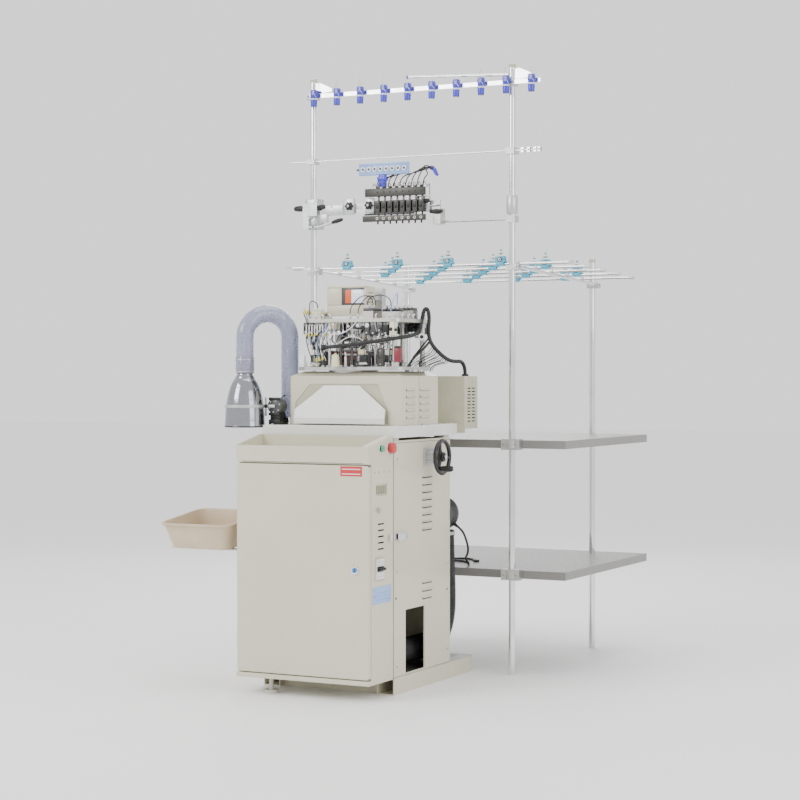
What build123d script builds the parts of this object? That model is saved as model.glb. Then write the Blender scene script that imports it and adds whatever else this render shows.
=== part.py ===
"""Small-diameter circular knitting machine with its cabinet, suction line and yarn creel.

Millimetres. The origin is on the floor under the needle cylinder's axis. +X is the
operator's right, -Y is the front where the operator stands and +Z is up.
"""
from build123d import *
from math import cos, sin, tan, radians, degrees, hypot
import os

os.makedirs("parts", exist_ok=True)

# ---------------------------------------------------------------- driving sizes
SEAT = 0.2            # clearance between fixed pieces that sit on each other
RUN = 0.05            # radial clearance of a shaft that turns in a bore
EASE = 1.0            # clearance round a part that passes through a sheet

BODY_HALF = 258.0     # half width of the base, the panels and the cabinet
BODY_FRONT = -189.0   # front ends of the base beams and side panels
PANEL_BACK = 254.0    # rear face of the rear panel
BASE_BACK = 442.0     # rear ends of the base beams
BEAM_WIDTH = 66.0
BEAM_HEIGHT = 58.0
BEAM_WALL = 4.0
DECK_THICK = 3.8
SHEET = 3.0           # side and rear panels
THIN = 2.0            # cabinet and hood sheet
PANEL_TOP = 871.0
POST = 40.0           # square inner columns

PLATE_LOW = 880.0
PLATE_TOP = 920.0
PLATE_HALF = 262.0
PLATE_FRONT = -192.0
PLATE_BACK = 312.0

CAB_BACK = -197.0
CAB_FACE = -354.0     # plane that the door closes against
DOOR_FRONT = -372.0
CAB_LOW = 57.0
CAB_TOP = 855.0       # top of the front band
CHEEK_TOP = 888.0     # rear top corner of the sloping cheeks
TRAY_DEPTH = 43.0
DOOR_LOW = 76.0
DOOR_TOP = 793.0
DOOR_THICK = 16.0
DOOR_SKIN = 1.5

HOOD_X = (-200.0, 240.0)
HOOD_Y = (-113.0, 192.0)
HOOD_EAVES = 1092.0
HOOD_TOP = 1108.0
HOOD_INSET = 35.0

BED_TOP = 1124.0      # top of the head's bed plate
BED_THICK = 12.0
TOP_PLATE_LOW = 1280.0
TOP_PLATE_THICK = 12.0
CYLINDER_R = 47.5     # needle cylinder, 3 3/4 inch
CYLINDER_TOP = 1186.0
DIAL_LOW = 1190.0

POLE_R = 12.5
POLE_FRONT_Y = 430.0
POLE_REAR_Y = 1229.0
POLE_LEFT_X = -405.0
POLE_RIGHT_X = 425.0
POLE_FRONT_TOP = 2229.0
POLE_REAR_TOP = 1560.0
SHELF_LEFT = -440.0
SHELF_RIGHT = 630.0
SHELF_BACK = 1303.0
SHELF_HEIGHT = 30.0
SHELF_SKIN = 2.0
SHELF_LOW_TOP = 381.0
SHELF_HIGH_TOP = 857.0
SHELF_FRONT = POLE_FRONT_Y + POLE_R + 1.5

RAIL_FRONT_Z = 1492.0  # side rails of the creel grid, sloping down to the rear
RAIL_REAR_Z = 1456.0
RAIL_R = 6.0
BAR_R = 5.0
BAR_COUNT = 5
BAR_PITCH = 157.0
BAR_RIGHT = 650.0
GUIDE_PITCH = 213.0
GUIDE_START = -270.0
GUIDES_PER_BAR = 4

TENSIONER_COUNT = 10
TENSIONER_PITCH = 100.0
TENSIONER_START = -385.0
TOP_RAIL_Z = 2160.0

BELL_X = -341.0
BELL_Y = -180.0
BELL_LOW = 911.0
BELL_SHOULDER = 1095.0
HOSE_R = 31.5
HOSE_BORE = 28.5
HOSE_TOP = 1313.0
HOSE_END_X = -236.0
HOSE_END_Y = -43.0

WHEEL_Y = 79.0
WHEEL_Z = 807.0
WHEEL_X = 312.0
WHEEL_R = 65.0
WHEEL_SHAFT_R = 8.0

LOCK_X = 205.0
LOCK_Z = 443.0
LOCK_R = 11.0
START_Y = -285.0
STOP_Y = -222.0
BUTTON_Z = 848.0
BUTTON_R = 9.0
BUTTON_TRAVEL = 4.0


# ---------------------------------------------------------------- helpers
def block(x, y, z, mode=Mode.ADD):
    """A box between pairs of limits along X, Y and Z."""
    with Locations(((x[0] + x[1]) / 2, (y[0] + y[1]) / 2, (z[0] + z[1]) / 2)):
        Box(x[1] - x[0], y[1] - y[0], z[1] - z[0], mode=mode)


def rod(start, end, radius, mode=Mode.ADD):
    """A round bar between two points."""
    run = Vector(*end) - Vector(*start)
    with Locations(Plane(origin=start, z_dir=run)):
        Cylinder(
            radius, run.length, align=(Align.CENTER, Align.CENTER, Align.MIN), mode=mode
        )


def prism(points, plane, depth, mode=Mode.ADD):
    """A straight-sided solid: a polygon drawn on a plane and pushed out by a depth."""
    with BuildSketch(plane) as outline:
        with BuildLine():
            Polyline(*points, close=True)
        make_face()
    extrude(outline.sketch, amount=depth, mode=mode)


def pipe(points, radii, outer, inner=0.0, mode=Mode.ADD):
    """A round tube along straight runs joined by tangent arcs."""
    with BuildLine() as route:
        FilletPolyline(*points, radius=radii)
    with BuildSketch(Plane(origin=route.line @ 0, z_dir=route.line % 0)) as section:
        Circle(outer)
        if inner > 0:
            Circle(inner, mode=Mode.SUBTRACT)
    sweep(section.sketch, path=route.line, mode=mode)


def between(a, b, share):
    """The value a share of the way from a to b."""
    return a + (b - a) * share


# ================================================================ base
DECK_LOW = BEAM_HEIGHT + SEAT
DECK_TOP = DECK_LOW + DECK_THICK
BEAM_IN = BODY_HALF - BEAM_WIDTH

with BuildPart() as base_frame:
    for side in (-1, 1):
        beam_x = sorted((side * BEAM_IN, side * BODY_HALF))
        block(beam_x, (BODY_FRONT, BASE_BACK), (0, BEAM_HEIGHT))
    for cross_y in (BODY_FRONT + 30, 60, BASE_BACK - 50):
        block((-BEAM_IN, BEAM_IN), (cross_y, cross_y + 50), (0, BEAM_HEIGHT))
    for side in (-1, 1):
        bore_x = sorted((side * (BEAM_IN + BEAM_WALL), side * (BODY_HALF - BEAM_WALL)))
        block(
            bore_x,
            (BODY_FRONT - 1, BASE_BACK + 1),
            (BEAM_WALL, BEAM_HEIGHT - BEAM_WALL),
            mode=Mode.SUBTRACT,
        )
base_frame.part.label = "base_frame"
export_step(base_frame.part, "parts/base_frame.step")

DECK_SLOT = 12.0
with BuildPart() as base_deck:
    block((-BODY_HALF, BODY_HALF), (BODY_FRONT, BASE_BACK), (DECK_LOW, DECK_TOP))
    for slot_y in (300, 330, 360, 390):
        for slot_x in (-165, 0, 165):
            block(
                (slot_x - 55, slot_x + 55),
                (slot_y, slot_y + DECK_SLOT),
                (DECK_LOW - 1, DECK_TOP + 1),
                mode=Mode.SUBTRACT,
            )
base_deck.part.label = "base_deck"
export_step(base_deck.part, "parts/base_deck.step")

POST_LOW = DECK_TOP + SEAT
POST_TOP = PLATE_LOW - SEAT
POST_OUT = BODY_HALF - SHEET - SEAT
POST_FRONT_Y = (BODY_FRONT + THIN + SEAT, BODY_FRONT + THIN + SEAT + POST)
POST_BACK_Y = (PANEL_BACK - SHEET - SEAT - POST, PANEL_BACK - SHEET - SEAT)
with BuildPart() as columns:
    for side in (-1, 1):
        post_x = sorted((side * (POST_OUT - POST), side * POST_OUT))
        hollow_x = sorted((side * (POST_OUT - POST + 3), side * (POST_OUT - 3)))
        for post_y in (POST_FRONT_Y, POST_BACK_Y):
            block(post_x, post_y, (POST_LOW, POST_TOP))
            block(
                hollow_x,
                (post_y[0] + 3, post_y[1] - 3),
                (POST_LOW - 1, POST_TOP + 1),
                mode=Mode.SUBTRACT,
            )
columns.part.label = "columns"
export_step(columns.part, "parts/columns.step")

# ================================================================ side and rear panels
WINDOW_Y = (-101.0, 43.0)
WINDOW_Z = (67.0, 285.0)
LOUVRE_Y = (30.0, 106.0)
LOUVRE_HEIGHT = 7.0
LOUVRE_LIP = 3.5
LOUVRE_ROWS = [548 + 26.4 * row for row in range(8)] + [307, 333, 361]
FLANGE = 15.0


def louvre(side, low_z, y_pair):
    """One slot under a raised lip on a side panel."""
    face = side * BODY_HALF
    block(
        sorted((face - side * (SHEET + 1), face + side * 1)),
        y_pair,
        (low_z, low_z + LOUVRE_HEIGHT),
        mode=Mode.SUBTRACT,
    )
    lip = [
        (face - side * 0.5, low_z + LOUVRE_HEIGHT),
        (face + side * LOUVRE_LIP, low_z + LOUVRE_HEIGHT - 3),
        (face + side * LOUVRE_LIP, low_z + LOUVRE_HEIGHT - 1.5),
        (face - side * 0.5, low_z + LOUVRE_HEIGHT + 4),
    ]
    prism(lip, Plane.XZ.offset(-y_pair[0]), -(y_pair[1] - y_pair[0]))


def side_panel(side, windowed):
    """A side panel with its front and rear flanges and its louvres."""
    skin_x = sorted((side * (BODY_HALF - SHEET), side * BODY_HALF))
    flange_x = sorted((side * (BODY_HALF - SHEET - FLANGE), side * (BODY_HALF - SHEET)))
    panel_z = (DECK_TOP + SEAT, PANEL_TOP)
    block(skin_x, (BODY_FRONT, PANEL_BACK), panel_z)
    block(flange_x, (BODY_FRONT, BODY_FRONT + THIN), panel_z)
    if windowed:
        block(
            (skin_x[0] - 1, skin_x[1] + 1), WINDOW_Y, WINDOW_Z, mode=Mode.SUBTRACT
        )
    for low_z in LOUVRE_ROWS:
        louvre(side, low_z, LOUVRE_Y)


with BuildPart() as side_panel_right:
    side_panel(1, True)
    rod((0, WHEEL_Y, WHEEL_Z), (400, WHEEL_Y, WHEEL_Z), 14, mode=Mode.SUBTRACT)
side_panel_right.part.label = "side_panel_right"
export_step(side_panel_right.part, "parts/side_panel_right.step")

with BuildPart() as side_panel_left:
    side_panel(-1, False)
side_panel_left.part.label = "side_panel_left"
export_step(side_panel_left.part, "parts/side_panel_left.step")

SUCTION_R = 45.0
SUCTION_X = 168.0
SUCTION_Z = 118.0
BLOWER_X = 205.0
BLOWER_Z = 592.0
BLOWER_R = 60.0
REAR_HALF = BODY_HALF - SHEET - SEAT
with BuildPart() as rear_panel:
    block(
        (-REAR_HALF, REAR_HALF),
        (PANEL_BACK - SHEET, PANEL_BACK),
        (DECK_TOP + SEAT, PANEL_TOP),
    )
    rod(
        (SUCTION_X, 200, SUCTION_Z),
        (SUCTION_X, 300, SUCTION_Z),
        SUCTION_R + EASE,
        mode=Mode.SUBTRACT,
    )
    for slot_z in range(640, 820, 24):
        block((-180, -60), (200, 300), (slot_z, slot_z + 8), mode=Mode.SUBTRACT)
rear_panel.part.label = "rear_panel"
export_step(rear_panel.part, "parts/rear_panel.step")

# ================================================================ machine plate
OUTLET_R = 50.0
with BuildPart() as machine_plate:
    block((-PLATE_HALF, PLATE_HALF), (PLATE_FRONT, PLATE_BACK), (PLATE_LOW, PLATE_TOP))
    fillet(machine_plate.edges().filter_by(Axis.Z), 6)
    fillet(machine_plate.faces().sort_by(Axis.Z)[-1].edges(), 2.5)
    Cylinder(OUTLET_R + EASE, 4 * PLATE_TOP, mode=Mode.SUBTRACT)
machine_plate.part.label = "machine_plate"
export_step(machine_plate.part, "parts/machine_plate.step")

# ================================================================ cabinet
TRAY_FLOOR = CAB_TOP - TRAY_DEPTH
CHEEK_IN = BODY_HALF - 30
DOORWAY_HALF = 236.0
SLOPE = [
    (CAB_FACE, CAB_LOW),
    (CAB_BACK, CAB_LOW),
    (CAB_BACK, CHEEK_TOP),
    (CAB_BACK - 18, CHEEK_TOP),
    (DOOR_FRONT, CAB_TOP),
    (DOOR_FRONT, DOOR_TOP + 4),
    (CAB_FACE, DOOR_TOP + 4),
]
BREAKER_Y = (-325.0, -266.0)
BREAKER_Z = (408.0, 478.0)
TERMINAL_Y = (-321.0, -241.0)
TERMINAL_Z = (689.0, 729.0)
FUSE_Y = -309.0
FUSE_Z = 642.0
FUSE_R = 6.0
VENT_Y = (-307.0, -263.0)

with BuildPart() as cabinet_shell:
    prism(SLOPE, Plane.YZ.offset(-BODY_HALF), 2 * BODY_HALF)
    block(
        (-BODY_HALF + THIN, BODY_HALF - THIN),
        (CAB_FACE + THIN, CAB_BACK - THIN),
        (CAB_LOW + THIN, TRAY_FLOOR - THIN),
        mode=Mode.SUBTRACT,
    )
    block(
        (-DOORWAY_HALF, DOORWAY_HALF),
        (CAB_FACE - 1, CAB_FACE + THIN + 1),
        (DOOR_LOW + 22, DOOR_TOP - 22),
        mode=Mode.SUBTRACT,
    )
    block(
        (-BODY_HALF + THIN, CHEEK_IN),
        (DOOR_FRONT + THIN, CAB_BACK - THIN),
        (TRAY_FLOOR, CHEEK_TOP + 1),
        mode=Mode.SUBTRACT,
    )
    cheek_core = [
        (DOOR_FRONT + 12, TRAY_FLOOR),
        (CAB_BACK - THIN, TRAY_FLOOR),
        (CAB_BACK - THIN, CHEEK_TOP - THIN),
        (CAB_BACK - 18, CHEEK_TOP - THIN - 1),
        (DOOR_FRONT + 12, CAB_TOP - THIN - 1),
    ]
    prism(
        cheek_core,
        Plane.YZ.offset(CHEEK_IN + THIN),
        BODY_HALF - THIN - CHEEK_IN - THIN,
        mode=Mode.SUBTRACT,
    )
    block(
        (-BODY_HALF, BODY_HALF), (DOOR_FRONT, CAB_FACE), (CAB_LOW, DOOR_LOW - 3)
    )
    right_wall = (BODY_HALF - THIN - 1, BODY_HALF + 1)
    block(right_wall, BREAKER_Y, BREAKER_Z, mode=Mode.SUBTRACT)
    block(right_wall, TERMINAL_Y, TERMINAL_Z, mode=Mode.SUBTRACT)
    for row in range(5):
        vent_z = 510 + 21 * row - 2.5
        block(right_wall, VENT_Y, (vent_z, vent_z + 5), mode=Mode.SUBTRACT)
    for hole_y, hole_z, hole_r in (
        (FUSE_Y, FUSE_Z, FUSE_R),
        (START_Y, BUTTON_Z, BUTTON_R),
        (STOP_Y, BUTTON_Z, BUTTON_R),
    ):
        rod(
            (BODY_HALF - THIN - 1, hole_y, hole_z),
            (BODY_HALF + 1, hole_y, hole_z),
            hole_r + RUN,
            mode=Mode.SUBTRACT,
        )
cabinet_shell.part.label = "cabinet_shell"
export_step(cabinet_shell.part, "parts/cabinet_shell.step")

# brackets that carry the cabinet on the front ends of the base, and its front foot
FOOT_X = -150.0
FOOT_Y = -320.0
with BuildPart() as cabinet_brackets:
    for side in (-1, 1):
        bracket_x = sorted((side * 170, side * 250))
        block(
            bracket_x,
            (CAB_BACK + SEAT, BODY_FRONT - SEAT),
            (CAB_LOW + 20, 260),
        )
        block(
            bracket_x,
            (CAB_BACK + SEAT, BODY_FRONT - SEAT),
            (600, 780),
        )
    rod((FOOT_X, FOOT_Y, 0), (FOOT_X, FOOT_Y, 12), 26)
    rod((FOOT_X, FOOT_Y, 12), (FOOT_X, FOOT_Y, CAB_LOW - SEAT), 8)
cabinet_brackets.part.label = "cabinet_brackets"
export_step(cabinet_brackets.part, "parts/cabinet_brackets.step")

# ---------------------------------------------------------------- door, hinges, lock
HINGE_X = -BODY_HALF - 4
HINGE_Y = CAB_FACE - 2
HINGE_R = 4.0
HINGE_PIN_R = 2.0
HINGE_Z = (190.0, 650.0)
HINGE_HALF = 30.0
DOOR_HALF = BODY_HALF - 0.5
DOOR_BACK = DOOR_FRONT + DOOR_THICK

with BuildPart() as cabinet_door:
    block((-DOOR_HALF, DOOR_HALF), (DOOR_FRONT, DOOR_BACK), (DOOR_LOW, DOOR_TOP))
    fillet(cabinet_door.edges().filter_by(Axis.Y), 9)
    fillet(cabinet_door.faces().sort_by(Axis.Y)[0].edges(), 3.5)
    block(
        (-DOOR_HALF + DOOR_SKIN, DOOR_HALF - DOOR_SKIN),
        (DOOR_FRONT + DOOR_SKIN, DOOR_BACK + 1),
        (DOOR_LOW + DOOR_SKIN, DOOR_TOP - DOOR_SKIN),
        mode=Mode.SUBTRACT,
    )
    for hinge_z in HINGE_Z:
        knuckle_z = (hinge_z + SEAT, hinge_z + HINGE_HALF)
        rod((HINGE_X, HINGE_Y, knuckle_z[0]), (HINGE_X, HINGE_Y, knuckle_z[1]), HINGE_R)
        block((HINGE_X, -DOOR_HALF + 0.1), (HINGE_Y - 3, HINGE_Y - 1), knuckle_z)
        block((-BODY_HALF - 1, -DOOR_HALF + 0.1), (HINGE_Y - 12, HINGE_Y - 1), knuckle_z)
        rod(
            (HINGE_X, HINGE_Y, knuckle_z[0] - 1),
            (HINGE_X, HINGE_Y, knuckle_z[1] + 1),
            HINGE_PIN_R + RUN,
            mode=Mode.SUBTRACT,
        )
    rod(
        (LOCK_X, DOOR_FRONT - 1, LOCK_Z),
        (LOCK_X, DOOR_FRONT + DOOR_SKIN + 1, LOCK_Z),
        LOCK_R + RUN,
        mode=Mode.SUBTRACT,
    )
cabinet_door.part.label = "cabinet_door"
export_step(cabinet_door.part, "parts/cabinet_door.step")

with BuildPart() as door_hinges:
    for hinge_z in HINGE_Z:
        rod((HINGE_X, HINGE_Y, hinge_z - HINGE_HALF), (HINGE_X, HINGE_Y, hinge_z), HINGE_R)
        rod(
            (HINGE_X, HINGE_Y, hinge_z),
            (HINGE_X, HINGE_Y, hinge_z + HINGE_HALF - 1),
            HINGE_PIN_R,
        )
        block(
            (HINGE_X - 1.5, HINGE_X + 1.5),
            (HINGE_Y, CAB_FACE + 26),
            (hinge_z - HINGE_HALF, hinge_z),
        )
        block(
            (HINGE_X - 1.5, -BODY_HALF - SEAT),
            (CAB_FACE + 1, CAB_FACE + 26),
            (hinge_z - HINGE_HALF, hinge_z),
        )
door_hinges.part.label = "door_hinges"
export_step(door_hinges.part, "parts/door_hinges.step")

TONGUE = 26.0
with BuildPart() as door_lock:
    rod((LOCK_X, DOOR_FRONT - 3, LOCK_Z), (LOCK_X, DOOR_FRONT - SEAT, LOCK_Z), LOCK_R + 3)
    rod((LOCK_X, DOOR_FRONT - 1, LOCK_Z), (LOCK_X, DOOR_BACK + 14, LOCK_Z), LOCK_R)
    block(
        (LOCK_X - 7, LOCK_X + TONGUE),
        (DOOR_BACK + 10, DOOR_BACK + 13),
        (LOCK_Z - 7, LOCK_Z + 7),
    )
    block(
        (LOCK_X - 8, LOCK_X + 8),
        (DOOR_FRONT - 4, DOOR_FRONT - 1.5),
        (LOCK_Z - 1.5, LOCK_Z + 1.5),
        mode=Mode.SUBTRACT,
    )
door_lock.part.label = "door_lock"
export_step(door_lock.part, "parts/door_lock.step")

# ---------------------------------------------------------------- cabinet electrics
CONTROL_Y = -222.0
with BuildPart() as control_panel:
    block((-220, 220), (CONTROL_Y, CONTROL_Y + 2), (110, 760))
    for stud_x in (-200, 200):
        for stud_z in (130, 740):
            rod((stud_x, CONTROL_Y + 1, stud_z), (stud_x, CAB_BACK - THIN - SEAT, stud_z), 6)
    for low_x, high_x, low_z, high_z, depth in (
        (-190, -60, 480, 700, 70),
        (-40, 60, 520, 700, 55),
        (80, 180, 520, 700, 60),
        (-190, -20, 180, 400, 75),
        (10, 170, 300, 400, 45),
        (10, 170, 180, 260, 50),
    ):
        block((low_x, high_x), (CONTROL_Y - depth, CONTROL_Y + 1), (low_z, high_z))
control_panel.part.label = "control_panel"
export_step(control_panel.part, "parts/control_panel.step")

TOGGLE_X = BODY_HALF - 1
TOGGLE_Z = (BREAKER_Z[0] + BREAKER_Z[1]) / 2
TOGGLE_R = 8.0
TOGGLE_CLEAR = 0.3
BREAKER_FACE = BODY_HALF + 5
POLE_PITCH = 18.0
BREAKER_MID = (BREAKER_Y[0] + BREAKER_Y[1]) / 2
with BuildPart() as breaker_block:
    block(
        (BODY_HALF - 60, BREAKER_FACE),
        (BREAKER_MID - 1.5 * POLE_PITCH, BREAKER_MID + 1.5 * POLE_PITCH),
        (BREAKER_Z[0] + EASE, BREAKER_Z[1] - EASE),
    )
    block(
        (BODY_HALF - THIN - 5, BODY_HALF - THIN - SEAT),
        (BREAKER_Y[0] - 8, BREAKER_Y[1] + 8),
        (BREAKER_Z[0] - 8, BREAKER_Z[1] + 8),
    )
    rod(
        (TOGGLE_X, BREAKER_MID - 25, TOGGLE_Z),
        (TOGGLE_X, BREAKER_MID + 25, TOGGLE_Z),
        TOGGLE_R + TOGGLE_CLEAR,
        mode=Mode.SUBTRACT,
    )
    block(
        (TOGGLE_X, BREAKER_FACE + 1),
        (BREAKER_MID - 25, BREAKER_MID + 25),
        (TOGGLE_Z - 12, TOGGLE_Z + 12),
        mode=Mode.SUBTRACT,
    )
breaker_block.part.label = "breaker_block"
export_step(breaker_block.part, "parts/breaker_block.step")

with BuildPart() as breaker_toggles:
    rod(
        (TOGGLE_X, BREAKER_MID - 24.5, TOGGLE_Z),
        (TOGGLE_X, BREAKER_MID + 24.5, TOGGLE_Z),
        TOGGLE_R,
    )
    for pole in (-1, 0, 1):
        pole_y = BREAKER_MID + pole * POLE_PITCH
        block((TOGGLE_X, TOGGLE_X + 17), (pole_y - 4, pole_y + 4), (TOGGLE_Z - 4, TOGGLE_Z + 4))
    rod(
        (TOGGLE_X + 14, BREAKER_MID - 22, TOGGLE_Z),
        (TOGGLE_X + 14, BREAKER_MID + 22, TOGGLE_Z),
        2,
    )
breaker_toggles.part.label = "breaker_toggles"
export_step(breaker_toggles.part, "parts/breaker_toggles.step")

with BuildPart() as side_fittings:
    block(
        (BODY_HALF - THIN - 14, BODY_HALF - THIN - SEAT),
        (TERMINAL_Y[0] - 6, TERMINAL_Y[1] + 6),
        (TERMINAL_Z[0] - 6, TERMINAL_Z[1] + 6),
    )
    for term in range(6):
        low_y = TERMINAL_Y[0] + 4 + 12.4 * term
        block(
            (BODY_HALF - THIN - 10, BODY_HALF - THIN + 1),
            (low_y, low_y + 10),
            (TERMINAL_Z[0] + 6, TERMINAL_Z[1] - 6),
            mode=Mode.SUBTRACT,
        )
    rod((BODY_HALF - THIN - 14, FUSE_Y, FUSE_Z), (BODY_HALF + 1, FUSE_Y, FUSE_Z), FUSE_R)
    rod((BODY_HALF + SEAT, FUSE_Y, FUSE_Z), (BODY_HALF + 11, FUSE_Y, FUSE_Z), 8.5)
    chamfer(side_fittings.faces().sort_by(Axis.X)[-1].edges(), 1.2)
side_fittings.part.label = "side_fittings"
export_step(side_fittings.part, "parts/side_fittings.step")

with BuildPart() as start_button:
    rod(
        (BODY_HALF - THIN - 12, START_Y, BUTTON_Z),
        (BODY_HALF + BUTTON_TRAVEL + 2, START_Y, BUTTON_Z),
        BUTTON_R,
    )
    rod(
        (BODY_HALF + BUTTON_TRAVEL + 1, START_Y, BUTTON_Z),
        (BODY_HALF + BUTTON_TRAVEL + 12, START_Y, BUTTON_Z),
        13,
    )
    fillet(start_button.faces().sort_by(Axis.X)[-1].edges(), 2)
start_button.part.label = "start_button"
export_step(start_button.part, "parts/start_button.step")

with BuildPart() as stop_button:
    rod(
        (BODY_HALF - THIN - 12, STOP_Y, BUTTON_Z),
        (BODY_HALF + BUTTON_TRAVEL + 8, STOP_Y, BUTTON_Z),
        BUTTON_R,
    )
    rod(
        (BODY_HALF + BUTTON_TRAVEL + 6, STOP_Y, BUTTON_Z),
        (BODY_HALF + BUTTON_TRAVEL + 22, STOP_Y, BUTTON_Z),
        19,
    )
    fillet(stop_button.faces().sort_by(Axis.X)[-1].edges(), 6)
stop_button.part.label = "stop_button"
export_step(stop_button.part, "parts/stop_button.step")

# ---------------------------------------------------------------- toggle latch
LATCH_Z = 542.0
LATCH_PIVOT_Y = -168.0
LATCH_PIVOT_X = BODY_HALF + 7
LATCH_PIN_R = 2.0
LEVER_HALF = 11.0
HOOK_Y = (-228.0, -202.0)
with BuildPart() as latch_base:
    block((BODY_HALF + SEAT, BODY_HALF + 2.2), (-180, -112), (LATCH_Z - 16, LATCH_Z + 16))
    for side in (-1, 1):
        ear_z = sorted((LATCH_Z + side * (LEVER_HALF + SEAT), LATCH_Z + side * 14.5))
        block((BODY_HALF + 1, BODY_HALF + 11), (LATCH_PIVOT_Y - 6, LATCH_PIVOT_Y + 6), ear_z)
    rod(
        (LATCH_PIVOT_X, LATCH_PIVOT_Y, LATCH_Z - 20),
        (LATCH_PIVOT_X, LATCH_PIVOT_Y, LATCH_Z + 20),
        LATCH_PIN_R + RUN,
        mode=Mode.SUBTRACT,
    )
    block((BODY_HALF + SEAT, BODY_HALF + 2.2), HOOK_Y, (LATCH_Z - 14, LATCH_Z + 14))
    block((BODY_HALF + 1, BODY_HALF + 9), (HOOK_Y[0], HOOK_Y[0] + 3), (LATCH_Z - 10, LATCH_Z + 10))
    block((BODY_HALF + 7, BODY_HALF + 9), (HOOK_Y[0] - 4, HOOK_Y[0] + 3), (LATCH_Z - 10, LATCH_Z + 10))
latch_base.part.label = "latch_base"
export_step(latch_base.part, "parts/latch_base.step")

with BuildPart() as latch_lever:
    rod(
        (LATCH_PIVOT_X, LATCH_PIVOT_Y, LATCH_Z - 14),
        (LATCH_PIVOT_X, LATCH_PIVOT_Y, LATCH_Z + 14),
        LATCH_PIN_R,
    )
    block(
        (LATCH_PIVOT_X - 1.5, LATCH_PIVOT_X + 1.5),
        (LATCH_PIVOT_Y, LATCH_PIVOT_Y + 62),
        (LATCH_Z - LEVER_HALF, LATCH_Z + LEVER_HALF),
    )
    block(
        (LATCH_PIVOT_X - 1.5, LATCH_PIVOT_X + 5),
        (LATCH_PIVOT_Y + 60, LATCH_PIVOT_Y + 63),
        (LATCH_Z - LEVER_HALF, LATCH_Z + LEVER_HALF),
    )
latch_lever.part.label = "latch_lever"
export_step(latch_lever.part, "parts/latch_lever.step")

# ================================================================ handwheel
BRACKET_X = (BODY_HALF + SEAT, BODY_HALF + 34)
with BuildPart() as wheel_bracket:
    block(BRACKET_X, (WHEEL_Y - 24, WHEEL_Y + 24), (WHEEL_Z - 22, WHEEL_Z + 22))
    fillet(wheel_bracket.edges().filter_by(Axis.X), 5)
    block(
        (BRACKET_X[0], BRACKET_X[0] + 6),
        (WHEEL_Y - 42, WHEEL_Y + 42),
        (WHEEL_Z - 30, WHEEL_Z + 30),
    )
    rod(
        (BRACKET_X[0] - 1, WHEEL_Y, WHEEL_Z),
        (BRACKET_X[1] + 1, WHEEL_Y, WHEEL_Z),
        WHEEL_SHAFT_R + RUN,
        mode=Mode.SUBTRACT,
    )
wheel_bracket.part.label = "wheel_bracket"
export_step(wheel_bracket.part, "parts/wheel_bracket.step")

GRIP_ANGLE = 235.0
GRIP_ARM = 48.0
GRIP_Y = WHEEL_Y + GRIP_ARM * cos(radians(GRIP_ANGLE))
GRIP_Z = WHEEL_Z + GRIP_ARM * sin(radians(GRIP_ANGLE))
GRIP_PIN_R = 3.0
RIM_R = 8.0
RIM_ROUND = 6.0
SPOKE_REACH = WHEEL_R - RIM_R + 2
with BuildPart() as handwheel:
    rod((WHEEL_X - RIM_R, WHEEL_Y, WHEEL_Z), (WHEEL_X + RIM_R, WHEEL_Y, WHEEL_Z), WHEEL_R)
    rod(
        (WHEEL_X - RIM_R - 1, WHEEL_Y, WHEEL_Z),
        (WHEEL_X + RIM_R + 1, WHEEL_Y, WHEEL_Z),
        WHEEL_R - 2 * RIM_R,
        mode=Mode.SUBTRACT,
    )
    fillet(handwheel.edges(), RIM_ROUND)
    rod((BODY_HALF - 30, WHEEL_Y, WHEEL_Z), (WHEEL_X + 16, WHEEL_Y, WHEEL_Z), WHEEL_SHAFT_R)
    rod((BRACKET_X[1] + 1, WHEEL_Y, WHEEL_Z), (WHEEL_X + 14, WHEEL_Y, WHEEL_Z), 17)
    for spoke in range(3):
        angle = radians(GRIP_ANGLE + 120 * spoke)
        rod(
            (WHEEL_X, WHEEL_Y + 10 * cos(angle), WHEEL_Z + 10 * sin(angle)),
            (
                WHEEL_X,
                WHEEL_Y + SPOKE_REACH * cos(angle),
                WHEEL_Z + SPOKE_REACH * sin(angle),
            ),
            6,
        )
    rod((WHEEL_X - 5, GRIP_Y, GRIP_Z), (WHEEL_X + 8, GRIP_Y, GRIP_Z), 9)
    rod((WHEEL_X, GRIP_Y, GRIP_Z), (WHEEL_X + 58, GRIP_Y, GRIP_Z), GRIP_PIN_R)
handwheel.part.label = "handwheel"
export_step(handwheel.part, "parts/handwheel.step")

with BuildPart() as wheel_grip:
    with BuildSketch(Plane.XZ) as grip_half:
        with BuildLine():
            Spline((9, WHEEL_X + 8.5), (11.5, WHEEL_X + 30), (8.5, WHEEL_X + 56))
            Line((8.5, WHEEL_X + 56), (GRIP_PIN_R + RUN, WHEEL_X + 56))
            Line((GRIP_PIN_R + RUN, WHEEL_X + 56), (GRIP_PIN_R + RUN, WHEEL_X + 8.5))
            Line((GRIP_PIN_R + RUN, WHEEL_X + 8.5), (9, WHEEL_X + 8.5))
        make_face()
    revolve(grip_half.sketch, Axis.Z)
turned_grip = Location((0, GRIP_Y, GRIP_Z), (0, 90, 0)) * wheel_grip.part
turned_grip.label = "wheel_grip"
export_step(turned_grip, "parts/wheel_grip.step")

# ================================================================ hood
HOOD_MID = (HOOD_X[0] + HOOD_X[1]) / 2
HOOD_LOW = PLATE_TOP + SEAT
HOOD_CORNER = 34.0
PEDESTAL_R = 88.0


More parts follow.
